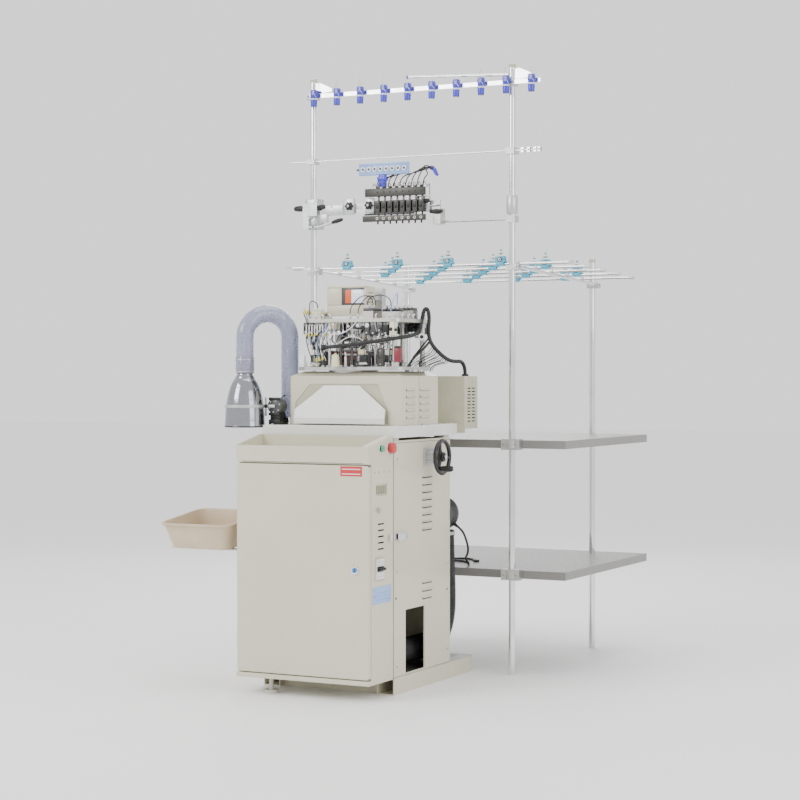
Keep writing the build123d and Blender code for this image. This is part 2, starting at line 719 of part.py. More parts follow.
def hood_outline(grow, plane):
    """The hood's plan with its bevelled front corners, grown or shrunk, on one plane."""
    left = HOOD_X[0] - grow
    right = HOOD_X[1] + grow
    front = HOOD_Y[0] - grow
    back = HOOD_Y[1] + grow
    with BuildSketch(plane) as plan:
        with BuildLine():
            Polyline(
                (left, front + 12),
                (left + 12, front),
                (right - HOOD_CORNER, front),
                (right, front + HOOD_CORNER * 0.4),
                (right, back),
                (left, back),
                close=True,
            )
        make_face()
    return plan.sketch


def hood_body(grow, top_drop, mode=Mode.ADD):
    """The hood's solid: straight walls under a bevelled top."""
    low = HOOD_LOW - (1 if mode == Mode.SUBTRACT else 0)
    extrude(hood_outline(grow, Plane.XY.offset(low)), amount=HOOD_EAVES - low, mode=mode)
    loft(
        [
            hood_outline(grow, Plane.XY.offset(HOOD_EAVES)),
            hood_outline(grow - HOOD_INSET, Plane.XY.offset(HOOD_TOP - top_drop)),
        ],
        mode=mode,
    )


SCOOP_LOW_HALF = 180.0
SCOOP_TOP_HALF = 68.0
SCOOP_SHOULDER_Z = 975.0
SCOOP_TOP_Z = 1057.0
SCOOP_MID = 14.0
BAY = [
    (SCOOP_MID - 190, 925),
    (SCOOP_MID + 184, 925),
    (SCOOP_MID + 180, 975),
    (SCOOP_MID + 142, 1064),
    (SCOOP_MID - 128, 1064),
    (SCOOP_MID - 186, 1000),
]
HOOD_LOUVRES_Y = ((-62, 6), (48, 118))
with BuildPart() as hood_shell:
    hood_body(0, 0)
    hood_body(-THIN, THIN, mode=Mode.SUBTRACT)
    Cylinder(PEDESTAL_R + EASE, 4 * HOOD_TOP, mode=Mode.SUBTRACT)
    prism(BAY, Plane.XZ.offset(-HOOD_Y[0] + 2), -8, mode=Mode.SUBTRACT)
    for louvre_y in HOOD_LOUVRES_Y:
        for row in range(5):
            louvre_z = 945 + 24 * row
            block(
                (HOOD_X[1] - THIN - 1, HOOD_X[1] + 1),
                louvre_y,
                (louvre_z, louvre_z + 6),
                mode=Mode.SUBTRACT,
            )
hood_shell.part.label = "hood_shell"
export_step(hood_shell.part, "parts/hood_shell.step")

BAY_BACK = HOOD_Y[0] + THIN + SEAT
with BuildPart() as hood_bay:
    with BuildSketch(Plane.XZ.offset(-BAY_BACK)) as bay_sheet:
        with BuildLine():
            Polyline(*BAY, close=True)
        make_face()
        offset(amount=3, kind=Kind.INTERSECTION)
    extrude(bay_sheet.sketch, amount=-1.5)
    split(bisect_by=Plane.XY.offset(HOOD_LOW + 1), keep=Keep.TOP)
hood_bay.part.label = "hood_bay"
export_step(hood_bay.part, "parts/hood_bay.step")

SCOOP_OUT = HOOD_Y[0] - 24
SCOOP_PROFILE = [
    (BAY_BACK - SEAT, SCOOP_TOP_Z),
    (BAY_BACK - SEAT - 3, SCOOP_TOP_Z + 2),
    (SCOOP_OUT, 945),
    (SCOOP_OUT, 925),
    (SCOOP_OUT + 2, 925),
    (SCOOP_OUT + 2, 945),
]
with BuildPart() as hood_scoop:
    prism(
        SCOOP_PROFILE,
        Plane.YZ.offset(SCOOP_MID - SCOOP_LOW_HALF),
        2 * SCOOP_LOW_HALF,
    )
    with BuildSketch(Plane.XZ.offset(-HOOD_Y[0] + 60)) as scoop_front:
        with BuildLine():
            Polyline(
                (SCOOP_MID - SCOOP_LOW_HALF, 900),
                (SCOOP_MID + SCOOP_LOW_HALF, 900),
                (SCOOP_MID + SCOOP_LOW_HALF, SCOOP_SHOULDER_Z),
                (SCOOP_MID + SCOOP_TOP_HALF, SCOOP_TOP_Z + 3),
                (SCOOP_MID - SCOOP_TOP_HALF, SCOOP_TOP_Z + 3),
                (SCOOP_MID - SCOOP_LOW_HALF, SCOOP_SHOULDER_Z),
                close=True,
            )
        make_face()
    extrude(scoop_front.sketch, amount=-90, mode=Mode.INTERSECT)
hood_scoop.part.label = "hood_scoop"
export_step(hood_scoop.part, "parts/hood_scoop.step")

# ================================================================ suction line
with BuildPart() as blower:
    rod((BLOWER_X, PANEL_BACK + SEAT, BLOWER_Z), (BLOWER_X, 330, BLOWER_Z), BLOWER_R)
    fillet(blower.faces().sort_by(Axis.Y)[-1].edges(), 12)
blower.part.label = "blower"
export_step(blower.part, "parts/blower.step")

HOSE_LEG_Y = 300.0
with BuildPart() as suction_hose:
    pipe(
        [
            (60, -70, 300),
            (SUCTION_X - 10, -70, SUCTION_Z + 40),
            (SUCTION_X, 60, SUCTION_Z),
            (SUCTION_X, HOSE_LEG_Y, SUCTION_Z),
            (BLOWER_X + 8, HOSE_LEG_Y, SUCTION_Z + 150),
            (BLOWER_X, HOSE_LEG_Y, BLOWER_Z - BLOWER_R - SEAT),
        ],
        [70, 80, SUCTION_R + 1, 120],
        SUCTION_R,
    )
suction_hose.part.label = "suction_hose"
export_step(suction_hose.part, "parts/suction_hose.step")

# ================================================================ rear electrical box
BOX_X = (130.0, 290.0)
BOX_Y = (PLATE_BACK + 2.0, PLATE_BACK + 112.0)
BOX_Z = (905.0, 1091.0)
with BuildPart() as rear_box:
    block(BOX_X, BOX_Y, BOX_Z)
    fillet(rear_box.edges().filter_by(Axis.Z), 4)
    offset(amount=-THIN, openings=rear_box.faces().sort_by(Axis.Z)[0])
    for column in range(2):
        slot_y = BOX_Y[0] + 22 + 38 * column
        for row in range(11):
            slot_z = 925 + 12 * row
            block(
                (BOX_X[1] - THIN - 1, BOX_X[1] + 1),
                (slot_y, slot_y + 26),
                (slot_z, slot_z + 4),
                mode=Mode.SUBTRACT,
            )
    block(BOX_X, BOX_Y, (BOX_Z[0] - 5, BOX_Z[0]))
    block(BOX_X, (PLATE_BACK + SEAT, BOX_Y[0]), (PLATE_LOW + 5, BOX_Z[0] + 10))
rear_box.part.label = "rear_box"
export_step(rear_box.part, "parts/rear_box.step")

# ================================================================ knitting head
BED_LOW = BED_TOP - BED_THICK
BED_X = (-185.0, 245.0)
BED_Y = (-110.0, 165.0)
SHANK_R = 60.0
SHANK_LOW = 1090.0
CYLINDER_BORE = 40.0
with BuildPart() as head_bed:
    rod((0, 0, PLATE_TOP + SEAT), (0, 0, BED_LOW + 1), PEDESTAL_R)
    with BuildSketch(Plane.XY.offset(BED_LOW)) as bed_plan:
        with Locations(((BED_X[0] + BED_X[1]) / 2, (BED_Y[0] + BED_Y[1]) / 2)):
            RectangleRounded(BED_X[1] - BED_X[0], BED_Y[1] - BED_Y[0], 60)
    extrude(bed_plan.sketch, amount=BED_THICK)
    rod((0, 0, PLATE_TOP - 1), (0, 0, SHANK_LOW - SEAT), OUTLET_R - 6, mode=Mode.SUBTRACT)
    rod((0, 0, SHANK_LOW - SEAT), (0, 0, BED_TOP + 1), SHANK_R + RUN, mode=Mode.SUBTRACT)
head_bed.part.label = "head_bed"
export_step(head_bed.part, "parts/head_bed.step")

with BuildPart() as outlet_tube:
    rod((0, 0, 330), (0, 0, PLATE_TOP), OUTLET_R)
    rod((0, 0, PLATE_LOW - 8), (0, 0, PLATE_LOW - SEAT), OUTLET_R + 22)
    rod((0, 0, 329), (0, 0, PLATE_TOP + 1), OUTLET_R - 4, mode=Mode.SUBTRACT)
outlet_tube.part.label = "outlet_tube"
export_step(outlet_tube.part, "parts/outlet_tube.step")

with BuildPart() as needle_cylinder:
    rod((0, 0, SHANK_LOW), (0, 0, BED_TOP + 2), SHANK_R)
    rod((0, 0, BED_TOP + 1), (0, 0, CYLINDER_TOP), CYLINDER_R)
    rod((0, 0, SHANK_LOW - 1), (0, 0, CYLINDER_TOP + 1), CYLINDER_BORE, mode=Mode.SUBTRACT)
needle_cylinder.part.label = "needle_cylinder"
export_step(needle_cylinder.part, "parts/needle_cylinder.step")

CAM_LOW = BED_TOP + SEAT
CAM_TOP = 1178.0
CAM_R = 105.0
with BuildPart() as cam_ring:
    rod((0, 0, CAM_LOW), (0, 0, CAM_LOW + 8), CAM_R + 8)
    rod((0, 0, CAM_LOW + 7), (0, 0, CAM_TOP), CAM_R)
    rod((0, 0, CAM_TOP - 14), (0, 0, CAM_TOP - 8), CAM_R + 5)
    rod((0, 0, CAM_LOW - 1), (0, 0, CAM_LOW + 10), SHANK_R + 4, mode=Mode.SUBTRACT)
    rod((0, 0, CAM_LOW + 9), (0, 0, CAM_TOP + 1), CYLINDER_R + 2, mode=Mode.SUBTRACT)
    rod((0, 0, CAM_TOP - 6), (0, 0, CAM_TOP + 1), CAM_R - 12, mode=Mode.SUBTRACT)
cam_ring.part.label = "cam_ring"
export_step(cam_ring.part, "parts/cam_ring.step")

SELECTOR_ANGLES = (-50, -15, 20, 55, 125, 160, 195, 230)
SELECTOR_IN = CAM_R + 10
SELECTOR_LENGTH = 46.0
with BuildPart() as selector_blocks:
    for angle in SELECTOR_ANGLES:
        seat = Plane.XY.offset(CAM_LOW).rotated((0, 0, angle))
        with BuildSketch(seat) as selector_plan:
            with Locations((SELECTOR_IN + SELECTOR_LENGTH / 2, 0)):
                RectangleRounded(SELECTOR_LENGTH, 28, 2)
        extrude(selector_plan.sketch, amount=58)
selector_blocks.part.label = "selector_blocks"
export_step(selector_blocks.part, "parts/selector_blocks.step")

DIAL_SHAFT_R = 10.0
DIAL_SHAFT_TOP = TOP_PLATE_LOW + TOP_PLATE_THICK - 2
PULLEY_Z = (1214.0, 1232.0)
HUB_LOW = 1240.0
with BuildPart() as dial:
    rod((0, 0, DIAL_LOW), (0, 0, DIAL_LOW + 10), CYLINDER_R - 2)
    rod((0, 0, DIAL_LOW + 9), (0, 0, DIAL_SHAFT_TOP), DIAL_SHAFT_R)
    rod((0, 0, PULLEY_Z[0]), (0, 0, PULLEY_Z[1]), 46)
    chamfer(dial.faces().sort_by(Axis.Z)[0].edges(), 2)
dial.part.label = "dial"
export_step(dial.part, "parts/dial.step")

TOP_X = (-150.0, 232.0)
TOP_Y = (-105.0, 150.0)
PILLARS = [(-128, -86), (208, -86), (-128, 130), (208, 130), (126, 136), (-20, 138)]
TOP_PLATE_TOP = TOP_PLATE_LOW + TOP_PLATE_THICK
VALVE_BLOCKS = [
    (-138, -100, -60, 20, 20),
    (88, 128, -95, -25, 26),
    (150, 215, -70, -30, 24),
    (100, 215, 40, 80, 30),
]
with BuildPart() as head_top_plate:
    with BuildSketch(Plane.XY.offset(TOP_PLATE_LOW)) as top_plan:
        with Locations(((TOP_X[0] + TOP_X[1]) / 2, (TOP_Y[0] + TOP_Y[1]) / 2)):
            RectangleRounded(TOP_X[1] - TOP_X[0], TOP_Y[1] - TOP_Y[0], 34)
    extrude(top_plan.sketch, amount=TOP_PLATE_THICK)
    rod((0, 0, HUB_LOW), (0, 0, TOP_PLATE_LOW + 1), 26)
    rod((0, 0, HUB_LOW - 1), (0, 0, DIAL_SHAFT_TOP + 1), DIAL_SHAFT_R + RUN, mode=Mode.SUBTRACT)
    for pillar_x, pillar_y in PILLARS:
        rod((pillar_x, pillar_y, BED_TOP + SEAT), (pillar_x, pillar_y, TOP_PLATE_LOW + 1), 9)
        rod((pillar_x, pillar_y, BED_TOP + SEAT), (pillar_x, pillar_y, BED_TOP + 14), 14)
    for low_x, high_x, low_y, high_y, tall in VALVE_BLOCKS:
        block((low_x, high_x), (low_y, high_y), (TOP_PLATE_TOP - 1, TOP_PLATE_TOP + tall))
head_top_plate.part.label = "head_top_plate"
export_step(head_top_plate.part, "parts/head_top_plate.step")

FINGER_ANGLES = (250, 300, 350, 60, 120, 195)
with BuildPart() as yarn_fingers:
    for angle in FINGER_ANGLES:
        seat = Plane.XY.offset(TOP_PLATE_LOW - SEAT).rotated((0, 0, angle))
        with BuildSketch(seat) as finger_block:
            with Locations((92, 0)):
                Rectangle(30, 40)
        extrude(finger_block.sketch, amount=-30)
        for finger in range(6):
            lane = seat.offset(-28)
            with BuildSketch(lane) as finger_blade:
                with Locations((78, -17.5 + 7 * finger)):
                    Rectangle(30, 2.4)
            extrude(finger_blade.sketch, amount=-12)
            with BuildSketch(lane) as finger_tip:
                with Locations((66, -17.5 + 7 * finger)):
                    Rectangle(6, 2.4)
            extrude(finger_tip.sketch, amount=-42)
yarn_fingers.part.label = "yarn_fingers"
export_step(yarn_fingers.part, "parts/yarn_fingers.step")

# ---------------------------------------------------------------- display
DISPLAY_X = (-97.0, 62.0)
DISPLAY_Y = (-20.0, 48.0)
DISPLAY_Z = (1306.0, 1412.0)
MAST_X = 44.0
MAST_Y = 120.0
MAST_HALF = 15.0
TILT_Z = 1375.0
TILT_R = 4.0
LUG_HALF = 8.0
with BuildPart() as display_mast:
    block(
        (MAST_X - MAST_HALF, MAST_X + MAST_HALF),
        (MAST_Y - MAST_HALF, MAST_Y + MAST_HALF),
        (TOP_PLATE_TOP + SEAT, 1406),
    )
    block(
        (MAST_X - LUG_HALF, MAST_X + LUG_HALF),
        (DISPLAY_Y[1] + 6, MAST_Y - MAST_HALF + 1),
        (TILT_Z - 12, TILT_Z + 12),
    )
    fillet(display_mast.edges().filter_by(Axis.X).sort_by(Axis.Y)[0:2], 9)
    rod(
        (MAST_X - 40, DISPLAY_Y[1] + 16, TILT_Z),
        (MAST_X + 40, DISPLAY_Y[1] + 16, TILT_Z),
        TILT_R + RUN,
        mode=Mode.SUBTRACT,
    )
display_mast.part.label = "display_mast"
export_step(display_mast.part, "parts/display_mast.step")

with BuildPart() as display_box:
    block(DISPLAY_X, DISPLAY_Y, DISPLAY_Z)
    fillet(display_box.edges().filter_by(Axis.Y), 3)
    for side in (-1, 1):
        ear_x = sorted((MAST_X + side * (LUG_HALF + SEAT), MAST_X + side * (LUG_HALF + 4)))
        block(ear_x, (DISPLAY_Y[1] - 1, DISPLAY_Y[1] + 24), (TILT_Z - 8, TILT_Z + 8))
    rod(
        (MAST_X - LUG_HALF - 6, DISPLAY_Y[1] + 16, TILT_Z),
        (MAST_X + LUG_HALF + 6, DISPLAY_Y[1] + 16, TILT_Z),
        TILT_R,
    )
    block((-34, 50), (DISPLAY_Y[0] - 1, DISPLAY_Y[0] + 1.5), (1349, 1399), mode=Mode.SUBTRACT)
display_box.part.label = "display_box"
export_step(display_box.part, "parts/display_box.step")

# ---------------------------------------------------------------- black wiring loom
LOOM_R = 7.0
LOOM_DROP_Y = BOX_Y[0] + 52
LOOM_PATH = [
    (-60, -132, 1191),
    (40, -138, 1198),
    (130, -136, 1208),
    (204, -122, 1220),
    (250, -70, 1230),
    (260, 0, 1236),
    (256, 60, 1250),
    (254, 90, 1290),
    (264, 106, 1324),
    (282, 116, 1324),
    (292, 120, 1290),
    (290, 122, 1245),
    (282, 132, 1200),
    (272, 170, 1165),
    (266, 220, 1146),
    (266, 280, 1144),
    (266, LOOM_DROP_Y - 30, 1146),
    (266, LOOM_DROP_Y, BOX_Z[1] + 30),
    (266, LOOM_DROP_Y, BOX_Z[1] + SEAT),
]


def bend_radii(points, share=0.45):
    """For each corner of a route, the largest arc that its two runs allow."""
    radii = []
    for before, corner, after in zip(points, points[1:], points[2:]):
        into = Vector(*corner) - Vector(*before)
        out = Vector(*after) - Vector(*corner)
        turn = radians(into.get_angle(out))
        radii.append(share * min(into.length, out.length) / tan(turn / 2))
    return radii


with BuildPart() as cable_loom:
    pipe(LOOM_PATH, bend_radii(LOOM_PATH, 0.49), LOOM_R)
cable_loom.part.label = "cable_loom"
export_step(cable_loom.part, "parts/cable_loom.step")

# ================================================================ sock outlet
ARCH_DX = HOSE_END_X - BELL_X
ARCH_DY = HOSE_END_Y - BELL_Y
ARCH_SPAN = hypot(ARCH_DX, ARCH_DY)
NECK_R = HOSE_BORE - SEAT
NECK_TOP = BELL_SHOULDER + 34
with BuildPart() as sock_bell:
    with BuildSketch(Plane.XZ) as bell_half:
        with BuildLine():
            Line((71, BELL_LOW), (73, BELL_LOW))
            Spline((73, BELL_LOW), (68, 980), (56, 1040), (38, 1080), (NECK_R, BELL_SHOULDER))
            Line((NECK_R, BELL_SHOULDER), (NECK_R, NECK_TOP))
            Line((NECK_R, NECK_TOP), (NECK_R - 2, NECK_TOP))
            Line((NECK_R - 2, NECK_TOP), (NECK_R - 2, BELL_SHOULDER - 1))
            Spline((NECK_R - 2, BELL_SHOULDER - 1), (36, 1079), (54, 1039), (66, 980), (71, BELL_LOW))
        make_face()
    revolve(bell_half.sketch, Axis.Z)
placed_bell = Location((BELL_X, BELL_Y, 0)) * sock_bell.part
placed_bell.label = "sock_bell"
export_step(placed_bell, "parts/sock_bell.step")

HOSE_BEND = ARCH_SPAN / 2 - 1
HOSE_END_Z = PLATE_TOP + SEAT
with BuildPart() as sock_hose:
    pipe(
        [
            (BELL_X, BELL_Y, BELL_SHOULDER + 6),
            (BELL_X, BELL_Y, HOSE_TOP),
            (HOSE_END_X, HOSE_END_Y, HOSE_TOP),
            (HOSE_END_X, HOSE_END_Y, HOSE_END_Z),
        ],
        [HOSE_BEND, HOSE_BEND],
        HOSE_R,
        HOSE_BORE,
    )
sock_hose.part.label = "sock_hose"
export_step(sock_hose.part, "parts/sock_hose.step")

CLAMP_Z = 985.0
CLAMP_BORE = 69.0
with BuildPart() as bell_clamp:
    block((-262, -214), (-150, -98), (PLATE_TOP + SEAT, 962))
    rod((-240, -148, CLAMP_Z), (-240, -100, CLAMP_Z), 30)
    block((-262, -218), (-146, -102), (955, 990))
    rod((BELL_X, BELL_Y, CLAMP_Z - 7), (BELL_X, BELL_Y, CLAMP_Z + 7), CLAMP_BORE + 5)
    block((-300, -236), (-152, -140), (CLAMP_Z - 7, CLAMP_Z + 7))
    rod((BELL_X, BELL_Y, CLAMP_Z - 9), (BELL_X, BELL_Y, CLAMP_Z + 9), CLAMP_BORE, mode=Mode.SUBTRACT)
bell_clamp.part.label = "bell_clamp"
export_step(bell_clamp.part, "parts/bell_clamp.step")

# ================================================================ sock bin
BIN_MID = (-431.5, -242.0)
BIN_LENGTH = 282.0
BIN_WIDTH = 272.0
BIN_DEPTH = 96.0
BIN_RIM_Z = 594.0
BIN_TILT = 7.6
BIN_WALL = 2.5
BIN_DRAFT = 24.0
bin_top = Plane(origin=(*BIN_MID, BIN_RIM_Z)).rotated((BIN_TILT, 0, 0))
with BuildPart() as sock_bin:
    for shrink, floor, mode in ((0, BIN_DEPTH, Mode.ADD), (BIN_WALL, BIN_DEPTH - BIN_WALL, Mode.SUBTRACT)):
        with BuildSketch(bin_top) as bin_mouth:
            RectangleRounded(BIN_LENGTH - 2 * shrink, BIN_WIDTH - 2 * shrink, 36 - shrink)
        with BuildSketch(bin_top.offset(-floor)) as bin_floor:
            RectangleRounded(
                BIN_LENGTH - 2 * BIN_DRAFT - 2 * shrink,
                BIN_WIDTH - 2 * BIN_DRAFT - 2 * shrink,
                24 - shrink,
            )
        loft([bin_mouth.sketch, bin_floor.sketch], mode=mode)
    with BuildSketch(bin_top) as bin_rim:
        RectangleRounded(BIN_LENGTH + 16, BIN_WIDTH + 16, 42)
        RectangleRounded(BIN_LENGTH - 2 * BIN_WALL, BIN_WIDTH - 2 * BIN_WALL, 33, mode=Mode.SUBTRACT)
    extrude(bin_rim.sketch, amount=-3)
sock_bin.part.label = "sock_bin"
export_step(sock_bin.part, "parts/sock_bin.step")

BIN_UNDER = bin_top.offset(-BIN_DEPTH - SEAT)
with BuildPart() as bin_bracket:
    with BuildSketch(BIN_UNDER) as bracket_rails:
        for rail_y in (-70, 60):
            with Locations((20, rail_y)):
                Rectangle(310, 16)
        with Locations((-120, -5)):
            Rectangle(16, 146)
    extrude(bracket_rails.sketch, amount=-5)
    split(bisect_by=Plane.YZ.offset(-BODY_HALF - SEAT), keep=Keep.BOTTOM)
    block((-BODY_HALF - 4, -BODY_HALF - SEAT), (-340, -210), (450, 540))
bin_bracket.part.label = "bin_bracket"
export_step(bin_bracket.part, "parts/bin_bracket.step")

# ================================================================ creel poles and shelves
FRONT_POLES = [(POLE_LEFT_X, POLE_FRONT_Y), (POLE_RIGHT_X, POLE_FRONT_Y)]
REAR_POLES = [(POLE_LEFT_X, POLE_REAR_Y), (POLE_RIGHT_X, POLE_REAR_Y)]
with BuildPart() as poles:
    for pole_x, pole_y in FRONT_POLES:
        rod((pole_x, pole_y, 0), (pole_x, pole_y, POLE_FRONT_TOP), POLE_R)
    for pole_x, pole_y in REAR_POLES:
        rod((pole_x, pole_y, 0), (pole_x, pole_y, POLE_REAR_TOP), POLE_R)
poles.part.label = "poles"
export_step(poles.part, "parts/poles.step")


def shelf(top_z):
    """A folded sheet shelf, open below, with holes for the rear poles."""
    block((SHELF_LEFT, SHELF_RIGHT), (SHELF_FRONT, SHELF_BACK), (top_z - SHELF_HEIGHT, top_z))
    block(
        (SHELF_LEFT + SHELF_SKIN, SHELF_RIGHT - SHELF_SKIN),
        (SHELF_FRONT + SHELF_SKIN, SHELF_BACK - SHELF_SKIN),
        (top_z - SHELF_HEIGHT - 1, top_z - SHELF_SKIN),
        mode=Mode.SUBTRACT,
    )
    for pole_x, pole_y in REAR_POLES:
        rod(
            (pole_x, pole_y, top_z - 2 * SHELF_HEIGHT),
            (pole_x, pole_y, top_z + 1),
            POLE_R + SEAT,
            mode=Mode.SUBTRACT,
        )


with BuildPart() as shelf_high:
    shelf(SHELF_HIGH_TOP)
shelf_high.part.label = "shelf_high"
export_step(shelf_high.part, "parts/shelf_high.step")

with BuildPart() as shelf_low:
    shelf(SHELF_LOW_TOP)
shelf_low.part.label = "shelf_low"
export_step(shelf_low.part, "parts/shelf_low.step")

# ---------------------------------------------------------------- pole clamps
CLAMP_HALF = 36.0
CLAMP_TALL = 40.0
GRID_CLAMP = 17.0


def rail_z(y):
    """Height of the sloping side rails' axis at a depth."""
    share = (y - POLE_FRONT_Y) / (POLE_REAR_Y - POLE_FRONT_Y)
    return between(RAIL_FRONT_Z, RAIL_REAR_Z, share)


RAIL_LEFT_X = POLE_LEFT_X + POLE_R + RAIL_R + SEAT
RAIL_RIGHT_X = POLE_RIGHT_X + POLE_R + RAIL_R + SEAT
RAIL_FROM_Y = POLE_FRONT_Y - 22
RAIL_TO_Y = POLE_REAR_Y + 26
FEEDER_RAIL_Y = (397.0, 403.0)
FEEDER_RAIL_Z = (1706.0, 1742.0)
FEEDER_RAIL_RIGHT = 150.0
FEEDER_ROD_Z = 1664.0
THIN_ROD_Z = 1911.0
THIN_ROD_Y = POLE_FRONT_Y - POLE_R - 5
with BuildPart() as creel_clamps:
    for pole_x, pole_y in FRONT_POLES:
        for shelf_top in (SHELF_LOW_TOP, SHELF_HIGH_TOP):
            mid_z = shelf_top - SHELF_HEIGHT / 2
            block(
                (pole_x - CLAMP_HALF, pole_x + CLAMP_HALF),
                (pole_y - POLE_R - 6, SHELF_FRONT - SEAT),
                (mid_z - CLAMP_TALL / 2, mid_z + CLAMP_TALL / 2),
            )
    for pole_x, pole_y in FRONT_POLES + REAR_POLES:
        inner = RAIL_LEFT_X if pole_x < 0 else RAIL_RIGHT_X
        collar_z = rail_z(pole_y)
        block(
            (pole_x - GRID_CLAMP, inner + RAIL_R + 5),
            (pole_y - GRID_CLAMP, pole_y + GRID_CLAMP),
            (collar_z - 14, collar_z + 4),
        )
    block(
        (POLE_LEFT_X - 22, POLE_LEFT_X + 34),
        (FEEDER_RAIL_Y[1] + SEAT, POLE_FRONT_Y + 20),
        (1652, 1767),
    )
    block(
        (POLE_LEFT_X - 22, POLE_LEFT_X + 40),
        (FEEDER_RAIL_Y[0] - 14, FEEDER_RAIL_Y[0] - SEAT),
        (1700, 1748),
    )
    block(
        (POLE_LEFT_X - 22, POLE_LEFT_X + 4),
        (FEEDER_RAIL_Y[0] - 14, FEEDER_RAIL_Y[1] + 1),
        (1650, 1700),
    )
    block(
        (POLE_RIGHT_X - 18, POLE_RIGHT_X + 18),
        (POLE_FRONT_Y - 18, POLE_FRONT_Y + 18),
        (FEEDER_ROD_Z - 12, FEEDER_ROD_Z + 12),
    )
    block(
        (POLE_RIGHT_X - 18, POLE_RIGHT_X + 18),
        (THIN_ROD_Y - 8, POLE_FRONT_Y + 18),
        (THIN_ROD_Z - 12, THIN_ROD_Z + 12),
    )
    block(
        (POLE_LEFT_X - 16, POLE_LEFT_X + 16),
        (THIN_ROD_Y - 8, POLE_FRONT_Y + 16),
        (THIN_ROD_Z - 10, THIN_ROD_Z + 10),
    )
    for pole_x, pole_y in FRONT_POLES:
        block(
            (pole_x - 17, pole_x + 17),
            (pole_y - POLE_R - 3 + SEAT, pole_y + 17),
            (TOP_RAIL_Z - 14, TOP_RAIL_Z + 14),
        )
    for pole_x, pole_y in FRONT_POLES + REAR_POLES:
        rod((pole_x, pole_y, 100), (pole_x, pole_y, POLE_FRONT_TOP), POLE_R + RUN, mode=Mode.SUBTRACT)
    for rail_x in (RAIL_LEFT_X, RAIL_RIGHT_X):
        rod(
            (rail_x, RAIL_FROM_Y - 9, rail_z(RAIL_FROM_Y - 9)),
            (rail_x, RAIL_TO_Y + 9, rail_z(RAIL_TO_Y + 9)),
            RAIL_R + RUN,
            mode=Mode.SUBTRACT,
        )
    rod((-600, THIN_ROD_Y, THIN_ROD_Z), (600, THIN_ROD_Y, THIN_ROD_Z), 3 + RUN, mode=Mode.SUBTRACT)
    rod(
        (100, POLE_FRONT_Y, FEEDER_ROD_Z),
        (POLE_RIGHT_X, POLE_FRONT_Y, FEEDER_ROD_Z),
        4 + RUN,
        mode=Mode.SUBTRACT,
    )
creel_clamps.part.label = "creel_clamps"
export_step(creel_clamps.part, "parts/creel_clamps.step")

# ---------------------------------------------------------------- creel grid
BAR_FRONT_Y = POLE_FRONT_Y + POLE_R + BAR_R + 2
BARS = [BAR_FRONT_Y + BAR_PITCH * bar for bar in range(BAR_COUNT)]
BAR_LEFT = RAIL_LEFT_X - 30


def bar_z(y):
    """Height of a cross bar's axis, resting on the side rails."""
    return rail_z(y) + RAIL_R + BAR_R + SEAT


with BuildPart() as creel_grid:
    for rail_x in (RAIL_LEFT_X, RAIL_RIGHT_X):
        rod(
            (rail_x, RAIL_FROM_Y, rail_z(RAIL_FROM_Y)),
            (rail_x, RAIL_TO_Y, rail_z(RAIL_TO_Y)),
            RAIL_R,
        )
    for bar_y in BARS:
        rod((BAR_LEFT, bar_y, bar_z(bar_y)), (BAR_RIGHT, bar_y, bar_z(bar_y)), BAR_R)
        block(
            (BAR_RIGHT - 8, BAR_RIGHT + 8),
            (bar_y - 8, bar_y + 8),
            (bar_z(bar_y) - 7, bar_z(bar_y) + 7),
        )
    loop_z = bar_z(BAR_FRONT_Y)
    pipe(
        [
            (BAR_LEFT + 1, BAR_FRONT_Y, loop_z),
            (-492, BAR_FRONT_Y, loop_z),
            (-492, 350, loop_z),
            (POLE_LEFT_X + 10, 350, loop_z),
        ],
        [40, 40],
        BAR_R,
    )
creel_grid.part.label = "creel_grid"
export_step(creel_grid.part, "parts/creel_grid.step")

GUIDE_POINTS = []
for bar_index, bar_y in enumerate(BARS):
    shift = 112 if bar_index % 2 else 0
    for guide in range(GUIDES_PER_BAR):
        GUIDE_POINTS.append((GUIDE_START + shift + GUIDE_PITCH * guide, bar_y))

with BuildPart() as yarn_guides:
    for guide_x, guide_y in GUIDE_POINTS:
        base_z = bar_z(guide_y)
        block(
            (guide_x - 20, guide_x + 24),
            (guide_y - 11, guide_y + 11),
            (base_z + BAR_R + SEAT, base_z + BAR_R + 24),
        )
        block(
            (guide_x - 12, guide_x + 12),
            (guide_y - BAR_R - 3, guide_y - BAR_R - SEAT),
            (base_z - 7, base_z + BAR_R + 2),
        )
yarn_guides.part.label = "yarn_guides"
export_step(yarn_guides.part, "parts/yarn_guides.step")

with BuildPart() as guide_tensioners:
    for guide_x, guide_y in GUIDE_POINTS:
        low_z = bar_z(guide_y) + BAR_R + 24 + SEAT
        rod((guide_x - 4, guide_y, low_z), (guide_x - 4, guide_y, low_z + 26), 3)
        rod((guide_x - 4, guide_y, low_z + 6), (guide_x - 4, guide_y, low_z + 9), 13)
        rod((guide_x - 4, guide_y, low_z + 11), (guide_x - 4, guide_y, low_z + 14), 13)
        rod((guide_x - 22, guide_y, low_z + 24), (guide_x + 14, guide_y, low_z + 24), 1.6)
guide_tensioners.part.label = "guide_tensioners"
export_step(guide_tensioners.part, "parts/guide_tensioners.step")

